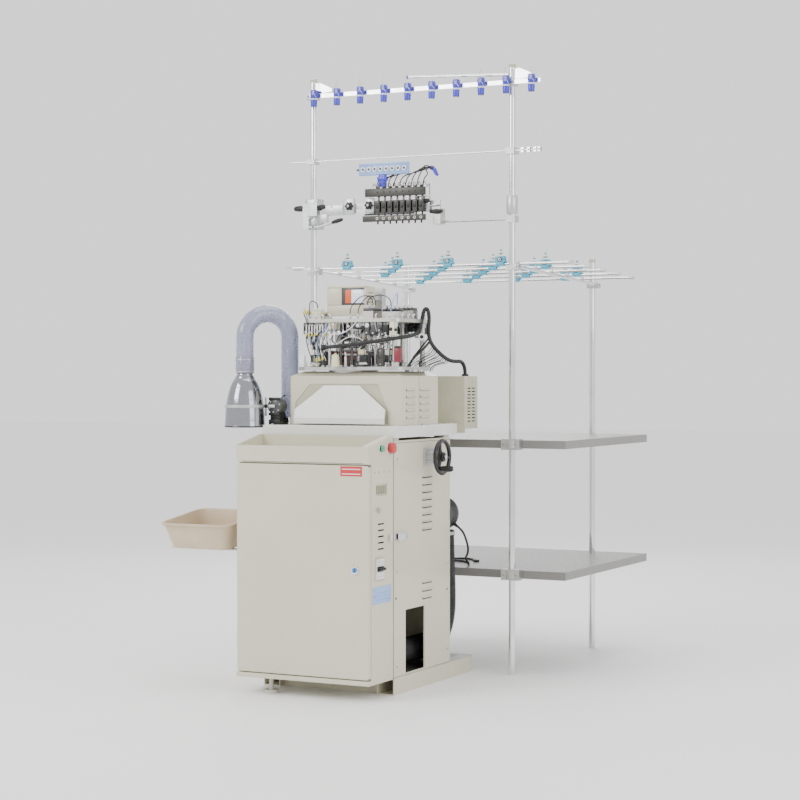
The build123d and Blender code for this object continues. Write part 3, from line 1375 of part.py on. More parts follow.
# ---------------------------------------------------------------- top rails and tensioners
RAIL_BAR_Y = (POLE_FRONT_Y - POLE_R - 8 + RUN, POLE_FRONT_Y - POLE_R - 3 - RUN)
with BuildPart() as top_rails:
    block((POLE_LEFT_X - 12, 545), RAIL_BAR_Y, (TOP_RAIL_Z - 8, TOP_RAIL_Z + 8))
    rod((-2, POLE_FRONT_Y, 2209), (POLE_RIGHT_X - POLE_R - 0.6, POLE_FRONT_Y, 2190), 6)
    rod((-492, THIN_ROD_Y, THIN_ROD_Z), (545, THIN_ROD_Y, THIN_ROD_Z), 3)
    for clip_x in (475, 500, 525, 541):
        block(
            (clip_x - 5, clip_x + 5),
            (THIN_ROD_Y - 8, THIN_ROD_Y + 8),
            (THIN_ROD_Z - 9, THIN_ROD_Z + 9),
        )
    for pole_x in (POLE_LEFT_X, POLE_RIGHT_X):
        start_x = pole_x + 17 + SEAT
        prism(
            [
                (start_x, TOP_RAIL_Z + 48),
                (start_x + 18, TOP_RAIL_Z + 50),
                (start_x + 70, TOP_RAIL_Z + 26),
                (start_x + 70, TOP_RAIL_Z + 14),
                (start_x, TOP_RAIL_Z + 9),
            ],
            Plane.XZ.offset(-RAIL_BAR_Y[1] - SEAT),
            -4,
        )
top_rails.part.label = "top_rails"
export_step(top_rails.part, "parts/top_rails.step")

TENSIONER_Y = RAIL_BAR_Y[0] - SEAT - 13
with BuildPart() as tensioners:
    for index in range(TENSIONER_COUNT):
        mid_x = TENSIONER_START + TENSIONER_PITCH * index
        block(
            (mid_x - 13, mid_x + 13),
            (RAIL_BAR_Y[0] - SEAT - 22, RAIL_BAR_Y[0] - SEAT),
            (TOP_RAIL_Z - 10, TOP_RAIL_Z + 22),
        )
        rod((mid_x, TENSIONER_Y, TOP_RAIL_Z - 34), (mid_x, TENSIONER_Y, TOP_RAIL_Z - 8), 13)
        rod((mid_x, TENSIONER_Y, TOP_RAIL_Z - 42), (mid_x, TENSIONER_Y, TOP_RAIL_Z - 33), 10)
tensioners.part.label = "tensioners"
export_step(tensioners.part, "parts/tensioners.step")

# ---------------------------------------------------------------- eight-way feeder
with BuildPart() as feeder_rail:
    block((POLE_LEFT_X + 6, FEEDER_RAIL_RIGHT), FEEDER_RAIL_Y, FEEDER_RAIL_Z)
    for slot in range(6):
        slot_x = -340 + 36 * slot
        block(
            (slot_x, slot_x + 20),
            (FEEDER_RAIL_Y[0] - 1, FEEDER_RAIL_Y[1] + 1),
            (1720, 1728),
            mode=Mode.SUBTRACT,
        )
    block((FEEDER_RAIL_RIGHT - 30, FEEDER_RAIL_RIGHT), (FEEDER_RAIL_Y[0], POLE_FRONT_Y + 8), (1654, 1712))
    rod(
        (FEEDER_RAIL_RIGHT - 10, POLE_FRONT_Y, FEEDER_ROD_Z),
        (POLE_RIGHT_X - POLE_R - SEAT, POLE_FRONT_Y, FEEDER_ROD_Z),
        4,
    )
feeder_rail.part.label = "feeder_rail"
export_step(feeder_rail.part, "parts/feeder_rail.step")

FEEDER_X = (-118.0, 110.0)
FEEDER_FACE = FEEDER_RAIL_Y[0] - SEAT
CHANNELS = 8
CHANNEL_PITCH = 26.0
PANEL_X = (-178.0, 32.0)
PANEL_Z = (1842.0, 1888.0)
with BuildPart() as feeder_unit:
    block(FEEDER_X, (FEEDER_FACE - 5, FEEDER_FACE), (1690, 1758))
    block((-157, 100), (FEEDER_FACE - 26, FEEDER_FACE - 5), (1672, 1690))
    block((FEEDER_X[0], FEEDER_X[1]), (FEEDER_FACE - 36, FEEDER_FACE - 4), (1758, 1768))
    for channel in range(CHANNELS):
        mid_x = -95 + CHANNEL_PITCH * channel
        block((mid_x - 8, mid_x + 8), (FEEDER_FACE - 34, FEEDER_FACE - 8), (1768, 1800))
        rod((mid_x - 40, FEEDER_FACE - 16, 1655), (mid_x - 40, FEEDER_FACE - 16, 1673), 4)
        rod((mid_x, FEEDER_FACE - 5, 1722), (mid_x, FEEDER_FACE - 16, 1722), 9)
    block(PANEL_X, (FEEDER_FACE - 28, FEEDER_FACE - 16), PANEL_Z)
    block((-92, -62), (FEEDER_FACE - 26, FEEDER_FACE - 18), (1800 + SEAT, PANEL_Z[0] + 1))
    for channel in range(CHANNELS):
        mid_x = PANEL_X[0] + 20 + 24.5 * channel
        rod(
            (mid_x, FEEDER_FACE - 40, 1858),
            (mid_x, FEEDER_FACE - 27, 1858),
            7,
        )
feeder_unit.part.label = "feeder_unit"
export_step(feeder_unit.part, "parts/feeder_unit.step")

KNOB_X = (-225.0, -140.0)


def star_knob(mid_x):
    """A lobed clamping knob on its stud, facing the front of the feeder rail."""
    mid_z = 1732
    face = FEEDER_RAIL_Y[0] - SEAT
    rod((mid_x, face - 10, mid_z), (mid_x, face, mid_z), 7)
    with BuildSketch(Plane.XZ.offset(-(face - 10))) as lobes:
        with Locations((mid_x, mid_z)):
            Circle(15)
            with PolarLocations(13, 6):
                Circle(5.5)
    extrude(lobes.sketch, amount=14)


with BuildPart() as clamp_levers:
    star_knob(KNOB_X[0])
    star_knob(KNOB_X[1])
    rod((POLE_LEFT_X - 22 - SEAT, 410, 1733), (POLE_LEFT_X - 72, 410, 1733), 10)
    rod((POLE_LEFT_X + 40 + SEAT, 390, 1732), (POLE_LEFT_X + 78, 390, 1732), 6)
    rod((POLE_LEFT_X + 4 + SEAT, 390, 1660), (POLE_LEFT_X + 18, 390, 1660), 7)
    rod((POLE_LEFT_X + 12, 390, 1660), (POLE_LEFT_X + 140, 384, 1682), 5)
    rod((POLE_LEFT_X + 110, 385, 1677), (POLE_LEFT_X + 150, 384, 1684), 8)
    rod((FEEDER_RAIL_RIGHT - 15, FEEDER_FACE, 1700), (FEEDER_RAIL_RIGHT - 15, FEEDER_FACE - 22, 1700), 6)
    rod((FEEDER_RAIL_RIGHT - 50, FEEDER_FACE - 22, 1700), (FEEDER_RAIL_RIGHT + 12, FEEDER_FACE - 22, 1700), 9)
clamp_levers.part.label = "clamp_levers"
export_step(clamp_levers.part, "parts/clamp_levers.step")

# ================================================================ mains lead
CORD_R = 4.0
CORD_LIE = SHELF_LOW_TOP + CORD_R + 0.3
GLAND_ANGLE = -35.0
GLAND_LENGTH = 22.0
GLAND_DX = cos(radians(GLAND_ANGLE))
GLAND_DZ = sin(radians(GLAND_ANGLE))
GLAND_IN = (BLOWER_X + (BLOWER_R + 0.9) * GLAND_DX, 292, BLOWER_Z + (BLOWER_R + 0.9) * GLAND_DZ)
GLAND_OUT = (GLAND_IN[0] + GLAND_LENGTH * GLAND_DX, 292, GLAND_IN[2] + GLAND_LENGTH * GLAND_DZ)
CORD_PATH = [
    GLAND_OUT,
    (GLAND_OUT[0] + 22 * GLAND_DX, 292, GLAND_OUT[2] + 22 * GLAND_DZ),
    (300, 304, 498),
    (296, 330, 464),
    (276, 366, 440),
    (250, 408, 426),
    (228, 452, 414),
    (212, 500, 398),
    (196, 548, CORD_LIE + 1),
    (176, 592, CORD_LIE),
    (146, 626, CORD_LIE),
    (104, 642, CORD_LIE),
    (64, 664, CORD_LIE),
    (52, 706, CORD_LIE),
    (82, 738, CORD_LIE),
    (126, 730, CORD_LIE),
    (152, 696, CORD_LIE),
]
with BuildPart() as cord_gland:
    rod(GLAND_IN, GLAND_OUT, 8)
cord_gland.part.label = "cord_gland"
export_step(cord_gland.part, "parts/cord_gland.step")

cord_radii = bend_radii(CORD_PATH)
print("mains lead radii, mm:", [round(r, 1) for r in cord_radii])
with BuildPart() as mains_lead:
    pipe(CORD_PATH, cord_radii, CORD_R)
mains_lead.part.label = "mains_lead"
export_step(mains_lead.part, "parts/mains_lead.step")

PLUG_TURN = Vector(*CORD_PATH[-1]) - Vector(*CORD_PATH[-2])
plug_plane = Plane(origin=CORD_PATH[-1], x_dir=(0, 0, 1), z_dir=PLUG_TURN)
with BuildPart() as mains_plug:
    with BuildSketch(plug_plane) as plug_back:
        Circle(CORD_R)
    with BuildSketch(plug_plane.offset(14)) as plug_neck:
        RectangleRounded(8, 16, 3)
    loft([plug_back.sketch, plug_neck.sketch])
    with BuildSketch(plug_plane.offset(14)) as plug_body:
        RectangleRounded(8, 24, 3)
    extrude(plug_body.sketch, amount=26)
mains_plug.part.label = "mains_plug"
export_step(mains_plug.part, "parts/mains_plug.step")
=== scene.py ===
"""Dresses the sock knitting machine: its finishes, its small parts and the studio round it."""
import random
from math import atan2, cos, degrees, pi, radians, sin, tau

import bmesh
import bpy
from bpy.props import FloatProperty, FloatVectorProperty, IntProperty, PointerProperty
from bpy.types import Operator, Panel, PropertyGroup
from mathutils import Matrix, Vector


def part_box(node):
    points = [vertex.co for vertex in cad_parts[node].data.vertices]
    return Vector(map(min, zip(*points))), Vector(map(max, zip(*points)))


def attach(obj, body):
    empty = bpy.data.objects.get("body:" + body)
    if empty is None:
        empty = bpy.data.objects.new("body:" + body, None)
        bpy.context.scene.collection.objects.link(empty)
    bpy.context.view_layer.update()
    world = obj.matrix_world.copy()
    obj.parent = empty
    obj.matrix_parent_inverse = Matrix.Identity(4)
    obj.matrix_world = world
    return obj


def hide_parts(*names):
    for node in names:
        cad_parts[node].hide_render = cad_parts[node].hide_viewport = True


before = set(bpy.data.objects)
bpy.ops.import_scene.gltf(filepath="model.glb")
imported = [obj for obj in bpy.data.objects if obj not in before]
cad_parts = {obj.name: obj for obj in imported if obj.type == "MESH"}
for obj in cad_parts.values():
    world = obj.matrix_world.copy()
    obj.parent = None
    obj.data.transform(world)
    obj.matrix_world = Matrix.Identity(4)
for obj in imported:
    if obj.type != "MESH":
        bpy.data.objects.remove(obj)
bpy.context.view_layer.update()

bl_info = {
    "name": "Sock Knitting Machine",
    "version": (1, 0, 0),
    "blender": (4, 5, 0),
    "location": "View3D > Sidebar > Knitting",
    "description": "Builds the finishes and fine parts of a sock knitting machine on its frame",
    "category": "Object",
}

MM = 0.001
UP = Vector((0, 0, 1))
RIGHT = Vector((1, 0, 0))
FRONT = Vector((0, -1, 0))
BACK = Vector((0, 1, 0))


def up(height):
    """A step straight up, in mm."""
    return Vector((0, 0, height))


# ---------------------------------------------------------------- node helpers
class Nodes:
    """A small writer for one material's node tree."""

    def __init__(self, name):
        self.material = bpy.data.materials.new(name)
        self.material.use_nodes = True
        self.tree = self.material.node_tree
        self.shader = self.tree.nodes["Principled BSDF"]
        self.space = self.add("ShaderNodeTexCoord")

    def add(self, kind, links=(), **settings):
        """A node with its settings, and its inputs set or linked by name."""
        node = self.tree.nodes.new(kind)
        for key, value in settings.items():
            setattr(node, key, value)
        for socket, source in dict(links).items():
            self.feed(node, socket, source)
        return node

    def feed(self, node, socket, source):
        """Sets one input to a number or colour, or links it to an output."""
        if isinstance(source, bpy.types.NodeSocket):
            self.tree.links.new(source, node.inputs[socket])
        else:
            node.inputs[socket].default_value = source

    def coords(self, stretch=(1, 1, 1), turn=(0, 0, 0)):
        """Object coordinates, stretched along the axes."""
        node = self.add("ShaderNodeMapping", {"Vector": self.space.outputs["Object"]})
        node.inputs["Scale"].default_value = stretch
        node.inputs["Rotation"].default_value = turn
        return node.outputs["Vector"]

    def noise(self, scale, detail=3.0, rough=0.5, where=None):
        """Smooth noise, between 0 and 1."""
        node = self.add(
            "ShaderNodeTexNoise",
            {
                "Vector": where or self.space.outputs["Object"],
                "Scale": scale,
                "Detail": detail,
                "Roughness": rough,
            },
        )
        return node.outputs["Fac"]

    def spots(self, scale, where=None):
        """Distance to scattered points."""
        node = self.add(
            "ShaderNodeTexVoronoi",
            {"Vector": where or self.space.outputs["Object"], "Scale": scale},
        )
        return node.outputs["Distance"]

    def stretch(self, value, low, high, to_low=0.0, to_high=1.0):
        """A value moved from one range to another."""
        node = self.add("ShaderNodeMapRange", {"Value": value, "From Min": low, "From Max": high,
                                               "To Min": to_low, "To Max": to_high})
        return node.outputs["Result"]

    def blend(self, share, first, second):
        """A colour between two colours."""
        node = self.add("ShaderNodeMix", data_type="RGBA")
        for index, source in ((0, share), (6, first), (7, second)):
            if isinstance(source, bpy.types.NodeSocket):
                self.tree.links.new(source, node.inputs[index])
            else:
                node.inputs[index].default_value = source
        return node.outputs[2]

    def sums(self, operation, first, second):
        """One sum of two values."""
        node = self.add("ShaderNodeMath", operation=operation)
        self.feed(node, 0, first)
        self.feed(node, 1, second)
        return node.outputs[0]

    def relief(self, height, depth, strength=1.0, normal=None):
        """Bumps of a depth in metres."""
        links = {"Height": height, "Distance": depth, "Strength": strength}
        if normal is not None:
            links["Normal"] = normal
        return self.add("ShaderNodeBump", links).outputs["Normal"]

    def rounded(self, radius):
        """The surface's normal as if its sharp edges were rounded."""
        return self.add("ShaderNodeBevel", {"Radius": radius}, samples=4).outputs["Normal"]

    def edges(self, rounded):
        """1 along sharp edges and 0 on flat faces."""
        flat = self.add("ShaderNodeNewGeometry").outputs["Normal"]
        same = self.add("ShaderNodeVectorMath", operation="DOT_PRODUCT")
        self.feed(same, 0, flat)
        self.feed(same, 1, rounded)
        return self.stretch(same.outputs["Value"], 1.0, 0.86)

    def out(self, **sockets):
        """Feeds the shader's own inputs."""
        for name, source in sockets.items():
            self.feed(self.shader, name.replace("_", " "), source)
        return self.material


def rgb(red, green, blue):
    """A colour given as display values from 0 to 255, as linear light."""
    linear = []
    for value in (red, green, blue):
        share = value / 255
        linear.append(share / 12.92 if share <= 0.04045 else ((share + 0.055) / 1.055) ** 2.4)
    return (*linear, 1.0)


def scaled(colour, factor):
    """A lighter or darker version of a colour."""
    return (*[min(1.0, part * factor) for part in colour[:3]], 1.0)


# ---------------------------------------------------------------- finishes
def enamel(name, colour, rough=0.33, peel=0.00005, low_darkening=0.25):
    """Sprayed enamel: orange peel, faint clouding, patchy darkening towards the bottom and paler
    rubbed edges.
    """
    n = Nodes(name)
    cloud = n.noise(3.0, 4.0, 0.6)
    fine = n.noise(55.0, 2.0, 0.5)
    soft = n.rounded(0.0016)
    rubbed = n.sums("MULTIPLY", n.edges(soft), n.stretch(n.noise(70, 3, 0.7), 0.42, 0.62))
    base = n.blend(n.stretch(cloud, 0.3, 0.7), scaled(colour, 0.955), scaled(colour, 1.03))
    # Patchy darkening towards the bottom: below 0.42 m of height the colour darkens, more the
    # lower it lies.
    height = n.add("ShaderNodeSeparateXYZ", {"Vector": n.space.outputs["Object"]})
    low = n.stretch(height.outputs["Z"], 0.42, 0.0, 0.0, 1.0)
    patches = n.sums("MULTIPLY", low, n.stretch(n.noise(14, 5, 0.7), 0.38, 0.75))
    patches = n.sums("MULTIPLY", patches, low_darkening)
    base = n.blend(patches, base, scaled(colour, 0.72))
    base = n.blend(n.sums("MULTIPLY", rubbed, 0.35), base, scaled(colour, 1.22))
    peeled = n.relief(n.noise(520, 2, 0.5), peel, 0.6, soft)
    rough_map = n.stretch(fine, 0.3, 0.7, rough - 0.05, rough + 0.07)
    n.shader.inputs["Coat Weight"].default_value = 0.25
    n.shader.inputs["Coat Roughness"].default_value = 0.12
    return n.out(Base_Color=base, Roughness=rough_map, Normal=peeled)


def brushed(name, colour, along=(1, 60, 60), rough=0.3, scratch=0.00002, tarnish=0.35):
    """Brushed or ground metal with a grain, small scratches and a dull bloom."""
    n = Nodes(name)
    grain = n.noise(90.0, 3.0, 0.6, n.coords(along))
    bloom = n.noise(18.0, 4.0, 0.65)
    soft = n.rounded(0.0009)
    base = n.blend(n.stretch(bloom, 0.35, 0.7), colour, scaled(colour, 1 - tarnish * 0.5))
    base = n.blend(n.sums("MULTIPLY", n.edges(soft), 0.4), base, scaled(colour, 1.25))
    rough_map = n.sums("ADD", n.stretch(grain, 0.3, 0.7, rough - 0.08, rough + 0.1),
                       n.stretch(bloom, 0.4, 0.7, 0.0, 0.1))
    n.shader.inputs["Metallic"].default_value = 1.0
    return n.out(Base_Color=base, Roughness=rough_map, Normal=n.relief(grain, scratch, 0.5, soft))


def plated(name, colour=(0.78, 0.78, 0.79, 1.0), rough=0.09):
    """Bright chrome plating with faint draw lines and finger smears."""
    n = Nodes(name)
    smear = n.noise(9.0, 5.0, 0.7)
    draw = n.noise(60.0, 2.0, 0.5, n.coords((14, 14, 0.6)))
    base = n.blend(n.stretch(smear, 0.4, 0.75), colour, scaled(colour, 0.86))
    rough_map = n.sums("ADD", n.stretch(smear, 0.4, 0.75, rough * 0.6, rough * 1.7),
                       n.stretch(draw, 0.35, 0.65, 0.0, 0.03))
    n.shader.inputs["Metallic"].default_value = 1.0
    return n.out(Base_Color=base, Roughness=rough_map,
                 Normal=n.relief(draw, 0.00001, 0.3, n.rounded(0.0007)))


def moulded(name, colour, rough=0.36, grain=0.00003, glow=0.0, gloss=0.0):
    """Moulded plastic with a fine spark grain and slightly uneven gloss."""
    n = Nodes(name)
    tone = n.noise(12.0, 3.0, 0.5)
    pits = n.noise(900.0, 1.0, 0.5)
    soft = n.rounded(0.0008)
    base = n.blend(n.stretch(tone, 0.3, 0.7), scaled(colour, 0.9), scaled(colour, 1.07))
    base = n.blend(n.sums("MULTIPLY", n.edges(soft), 0.3), base, scaled(colour, 1.35))
    rough_map = n.stretch(n.noise(40, 4, 0.6), 0.3, 0.7, rough - 0.06, rough + 0.1)
    n.shader.inputs["Subsurface Weight"].default_value = glow
    n.shader.inputs["Subsurface Scale"].default_value = 0.002
    n.shader.inputs["Coat Weight"].default_value = gloss
    return n.out(Base_Color=base, Roughness=rough_map, Normal=n.relief(pits, grain, 0.4, soft))


def rubbery(name, colour=(0.012, 0.012, 0.013, 1.0), rough=0.55):
    """Black rubber or soft vinyl with a dusty bloom."""
    n = Nodes(name)
    patches = n.stretch(n.noise(25.0, 5.0, 0.7), 0.45, 0.8)
    base = n.blend(patches, colour, scaled(colour, 3.2))
    rough_map = n.stretch(n.noise(60, 3, 0.5), 0.3, 0.7, rough - 0.1, rough + 0.12)
    n.shader.inputs["Specular IOR Level"].default_value = 0.42
    return n.out(Base_Color=base, Roughness=rough_map,
                 Normal=n.relief(n.noise(700, 2, 0.5), 0.00004, 0.5))


def clear_vinyl(name):
    """Milky clear hose: bluish grey, part see-through, streaked along its length."""
    n = Nodes(name)
    streak = n.noise(26.0, 3.0, 0.6, n.coords((3.0, 3.0, 0.35)))
    cloud = n.noise(11.0, 4.0, 0.6)
    base = n.blend(n.stretch(streak, 0.3, 0.75), rgb(186, 190, 210), rgb(214, 218, 234))
    n.shader.inputs["Transmission Weight"].default_value = 0.72
    n.shader.inputs["IOR"].default_value = 1.33
    n.shader.inputs["Coat Weight"].default_value = 0.6
    n.shader.inputs["Coat Roughness"].default_value = 0.08
    rough_map = n.stretch(cloud, 0.3, 0.7, 0.16, 0.34)
    return n.out(Base_Color=base, Roughness=rough_map,
                 Normal=n.relief(n.noise(40, 2, 0.5), 0.00006, 0.4))


def woven(name, colour):
    """Fine woven tube cloth, its threads running round and along."""
    n = Nodes(name)
    warp = n.add("ShaderNodeTexWave", {"Vector": n.space.outputs["Object"], "Scale": 420.0},
                 bands_direction="Z").outputs["Fac"]
    weft = n.add("ShaderNodeTexWave", {"Vector": n.space.outputs["Object"], "Scale": 420.0},
                 bands_direction="DIAGONAL").outputs["Fac"]
    thread = n.sums("MAXIMUM", warp, weft)
    base = n.blend(n.stretch(n.noise(30, 4, 0.6), 0.3, 0.7), scaled(colour, 0.8),
                   scaled(colour, 1.1))
    n.shader.inputs["Sheen Weight"].default_value = 0.3
    return n.out(Base_Color=base, Roughness=0.85, Normal=n.relief(thread, 0.0003, 0.6))


def screen_glass(name):
    """A pale backlit display with rows of dim figures under glass."""
    n = Nodes(name)
    place = n.add("ShaderNodeSeparateXYZ", {"Vector": n.space.outputs["Object"]})
    rows = n.add("ShaderNodeTexWave", {"Vector": n.space.outputs["Object"], "Scale": 42.0},
                 bands_direction="Z").outputs["Fac"]
    cells = n.spots(420.0, n.coords((1.0, 0.0, 1.0)))
    ink = n.sums("MULTIPLY", n.stretch(rows, 0.55, 0.75), n.stretch(cells, 0.42, 0.25))
    base = n.blend(ink, rgb(226, 230, 245), rgb(120, 132, 178))
    base = n.blend(n.stretch(place.outputs["Z"], 1.34, 1.41, 0.0, 0.2), base, rgb(250, 251, 255))
    n.shader.inputs["Emission Strength"].default_value = 0.25
    n.feed(n.shader, "Emission Color", base)
    n.shader.inputs["Coat Weight"].default_value = 1.0
    n.shader.inputs["Coat Roughness"].default_value = 0.05
    return n.out(Base_Color=base, Roughness=0.25)


FINISHES = {}


def make_finishes(enamel_colour):
    """Makes every finish once, under a short key."""
    FINISHES.update(
        cream=enamel("cream_enamel", (*enamel_colour, 1.0)),
        pale=enamel("pale_enamel", rgb(222, 222, 216), rough=0.24, low_darkening=0.0),
        grey=enamel("grey_enamel", rgb(186, 185, 176), rough=0.4),
        slate=enamel("slate_enamel", rgb(62, 63, 63), rough=0.42, low_darkening=0.1),
        steel=brushed("brushed_plate", rgb(196, 196, 194)),
        ground=brushed("ground_steel", rgb(178, 178, 176), along=(60, 60, 1), rough=0.26),
        zinc=brushed("zinc_castings", rgb(205, 206, 207), along=(20, 20, 20), rough=0.36),
        worn=brushed("worn_steel", rgb(84, 83, 80), along=(25, 25, 25), rough=0.42),
        chrome=plated("chrome_tube"),
        # Painted reflection: the spun bell's metal colour is darkened to stand for dark
        # surroundings mirrored in it, which the white studio lacks.
        mirror=plated("spun_metal_painted_dark_reflection", (0.30, 0.31, 0.34, 1.0), rough=0.1),
        wine=enamel("oxide_enamel", rgb(92, 48, 50), rough=0.35, low_darkening=0.0),
        black=moulded("black_plastic", rgb(13, 13, 14), rough=0.38),
        blue=moulded("blue_plastic", rgb(50, 52, 190), rough=0.3, glow=0.1, gloss=0.3),
        pale_blue=moulded("pale_blue_plastic", rgb(120, 150, 214), rough=0.35, gloss=0.2),
        lock_blue=moulded("blue_lock_plastic", rgb(40, 120, 190), rough=0.3, gloss=0.2),
        cyan=moulded("cyan_plastic", rgb(58, 168, 198), rough=0.3, glow=0.1, gloss=0.3),
        red=moulded("red_plastic", rgb(196, 40, 46), rough=0.3, gloss=0.3),
        crimson=moulded("crimson_plastic", rgb(126, 34, 46), rough=0.35),
        green=moulded("green_plastic", rgb(58, 158, 104), rough=0.3, glow=0.1, gloss=0.4),
        orange=moulded("orange_film", rgb(232, 98, 38), rough=0.4),
        ivory=moulded("ivory_plastic", rgb(226, 218, 184), rough=0.4, glow=0.1),
        white=moulded("white_plastic", rgb(232, 232, 230), rough=0.35, glow=0.1),
        putty=moulded("putty_plastic", rgb(184, 180, 158), rough=0.42),
        tan=moulded("tan_plastic", rgb(196, 176, 148), rough=0.34, glow=0.15, gloss=0.15),
        yellow=moulded("yellow_plastic", rgb(206, 196, 84), rough=0.4, glow=0.2),
        ceramic=moulded("white_ceramic", rgb(240, 238, 232), rough=0.16, grain=0.0, gloss=0.6),
        rubber=rubbery("black_rubber"),
        gloss_black=moulded("gloss_black_plastic", rgb(9, 9, 10), rough=0.3, grain=0.0, gloss=0.2),
        sky=moulded("sky_blue_plastic", rgb(140, 172, 224), rough=0.32, glow=0.1, gloss=0.3),
        ivory_metal=brushed("clear_coated_plate", rgb(208, 206, 198), along=(60, 1, 60),
                            rough=0.28),
        # Painted shade: the shelves' enamel is darkened to a mid grey to stand for the shade on
        # their tops; their own enamel is the beige of their edges.
        shelf=enamel("shelf_enamel_painted_shade", rgb(122, 121, 117), rough=0.38, low_darkening=0.1),
        hose=clear_vinyl("clear_vinyl"),
        cloth=woven("grey_tube_cloth", rgb(132, 134, 138)),
        screen=screen_glass("display_glass"),
    )


# ---------------------------------------------------------------- shapes
def point(place):
    """Millimetres to a vector in metres."""
    return Vector(place) * MM


def tint(faces, finish):
    """Gives faces one of the piece's finishes, by index."""
    for face in faces:
        face.material_index = finish


def faces_of(verts):
    """The faces that a set of vertices carries."""
    return list({face for vert in verts for face in vert.link_faces})


def brick(bm, low, high, bevel=0.0, finish=0, turn=None, about=None, segments=2):
    """A block between two corners in mm, with rounded edges, turned about a point."""
    low, high = Vector(low), Vector(high)
    verts = bmesh.ops.create_cube(bm, size=1.0)["verts"]
    bmesh.ops.scale(bm, vec=(high - low) * MM, verts=verts)
    bmesh.ops.translate(bm, vec=(low + high) / 2 * MM, verts=verts)
    if turn is not None:
        centre = point(about) if about is not None else (low + high) / 2 * MM
        bmesh.ops.rotate(bm, cent=centre, matrix=turn, verts=verts)
    tint(faces_of(verts), finish)
    if bevel > 0:
        edges = list({edge for vert in verts for edge in vert.link_edges})
        bmesh.ops.bevel(bm, geom=edges, offset=bevel * MM, offset_type="OFFSET", segments=segments,
                        profile=0.5, affect="EDGES", material=-1)


def bar(bm, start, end, radius, end_radius=None, sides=20, finish=0, bevel=0.0):
    """A round bar between two points in mm, straight or tapered."""
    start, end = point(start), point(end)
    run = end - start
    end_radius = radius if end_radius is None else end_radius
    verts = bmesh.ops.create_cone(
        bm, cap_ends=True, cap_tris=False, segments=sides, radius1=radius * MM,
        radius2=end_radius * MM, depth=run.length,
    )["verts"]
    turn = UP.rotation_difference(run).to_matrix().to_4x4()
    bmesh.ops.transform(bm, matrix=Matrix.Translation((start + end) / 2) @ turn, verts=verts)
    faces = faces_of(verts)
    tint(faces, finish)
    if bevel > 0:
        rims = [
            edge for edge in {e for face in faces for e in face.edges}
            if len(edge.link_faces) == 2 and edge.calc_face_angle(0) > 1.0
        ]
        bmesh.ops.bevel(bm, geom=rims, offset=bevel * MM, offset_type="OFFSET", segments=2,
                        profile=0.5, affect="EDGES", material=-1)


def lathe(bm, profile, centre, axis=(0, 0, 1), sides=32, finish=0, closed=False):
    """A turned shape: (radius, height) pairs in mm spun round an axis through a point."""
    verts = [bm.verts.new((max(radius, 0.0) * MM, 0, height * MM)) for radius, height in profile]
    pairs = list(zip(verts, verts[1:]))
    if closed:
        pairs.append((verts[-1], verts[0]))
    edges = [bm.edges.new(pair) for pair in pairs]
    bmesh.ops.spin(bm, geom=verts + edges, cent=(0, 0, 0), axis=(0, 0, 1), angle=tau,
                   steps=sides, use_merge=True, use_duplicate=False)
    made = grown_from(verts)
    turn = UP.rotation_difference(Vector(axis)).to_matrix().to_4x4()
    bmesh.ops.transform(bm, matrix=Matrix.Translation(point(centre)) @ turn, verts=made)
    bmesh.ops.remove_doubles(bm, verts=made, dist=0.000002)
    alive = [vert for vert in made if vert.is_valid]
    faces = faces_of(alive)
    bmesh.ops.recalc_face_normals(bm, faces=faces)
    tint(faces, finish)
    return faces


def grown_from(seeds):
    """Every vertex joined by edges to the seeds."""
    found = set(seeds)
    open_verts = list(seeds)
    while open_verts:
        vert = open_verts.pop()
        for edge in vert.link_edges:
            other = edge.other_vert(vert)
            if other not in found:
                found.add(other)
                open_verts.append(other)
    return list(found)


def slab(bm, outline, thickness, finish=0, bevel=0.0):
    """A flat plate: an outline of points in mm, pushed out along a vector in mm."""
    verts = [bm.verts.new(point(place)) for place in outline]
    face = bm.faces.new(verts)
    grown = bmesh.ops.extrude_face_region(bm, geom=[face], use_keep_orig=True)["geom"]
    moved = [item for item in grown if isinstance(item, bmesh.types.BMVert)]
    bmesh.ops.translate(bm, vec=point(thickness), verts=moved)
    every = verts + moved
    faces = faces_of(every)
    bmesh.ops.recalc_face_normals(bm, faces=faces)
    tint(faces, finish)
    if bevel > 0:
        bmesh.ops.bevel(
            bm, geom=list({edge for item in faces for edge in item.edges}),
            offset=bevel * MM, offset_type="OFFSET", segments=2, profile=0.5,
            affect="EDGES", material=-1,
        )


def ring(bm, centre, axis, radius, wire, finish=0, sides=24, around=8):
    """A round wire ring about an axis."""
    profile = [(radius + wire * cos(tau * step / around),
                wire * sin(tau * step / around)) for step in range(around)]
    lathe(bm, profile, centre, axis, sides, finish, closed=True)


def screw(bm, centre, axis, radius, finish=0, socket=1):
    """A button head with a dark hexagon socket, standing on a face."""
    profile = [(0, radius * 0.55), (radius * 0.45, radius * 0.55), (radius * 0.85, radius * 0.38),
               (radius, 0.0), (radius, -radius * 0.1)]
    lathe(bm, profile, centre, axis, 14, finish)
    out = Vector(axis).normalized()
    top = Vector(centre) + out * radius * 0.5
    bar(bm, top, top + out * radius * 0.1, radius * 0.42, sides=6, finish=socket)


def smooth_line(points, count=24):
    """Points along a smooth curve through a route, in mm."""
    curve = bpy.data.curves.new("route", "CURVE")
    curve.dimensions = "3D"
    curve.resolution_u = count
    spline = curve.splines.new("NURBS")
    spline.points.add(len(points) - 1)
    for spot, place in zip(spline.points, points):
        spot.co = (*place, 1.0)
    spline.order_u = 3
    spline.use_endpoint_u = True
    holder = bpy.data.objects.new("route", curve)
    mesh = bpy.data.meshes.new_from_object(holder)
    line = [vert.co.copy() for vert in mesh.vertices]
    bpy.data.objects.remove(holder)
    bpy.data.curves.remove(curve)
    bpy.data.meshes.remove(mesh)
    return line


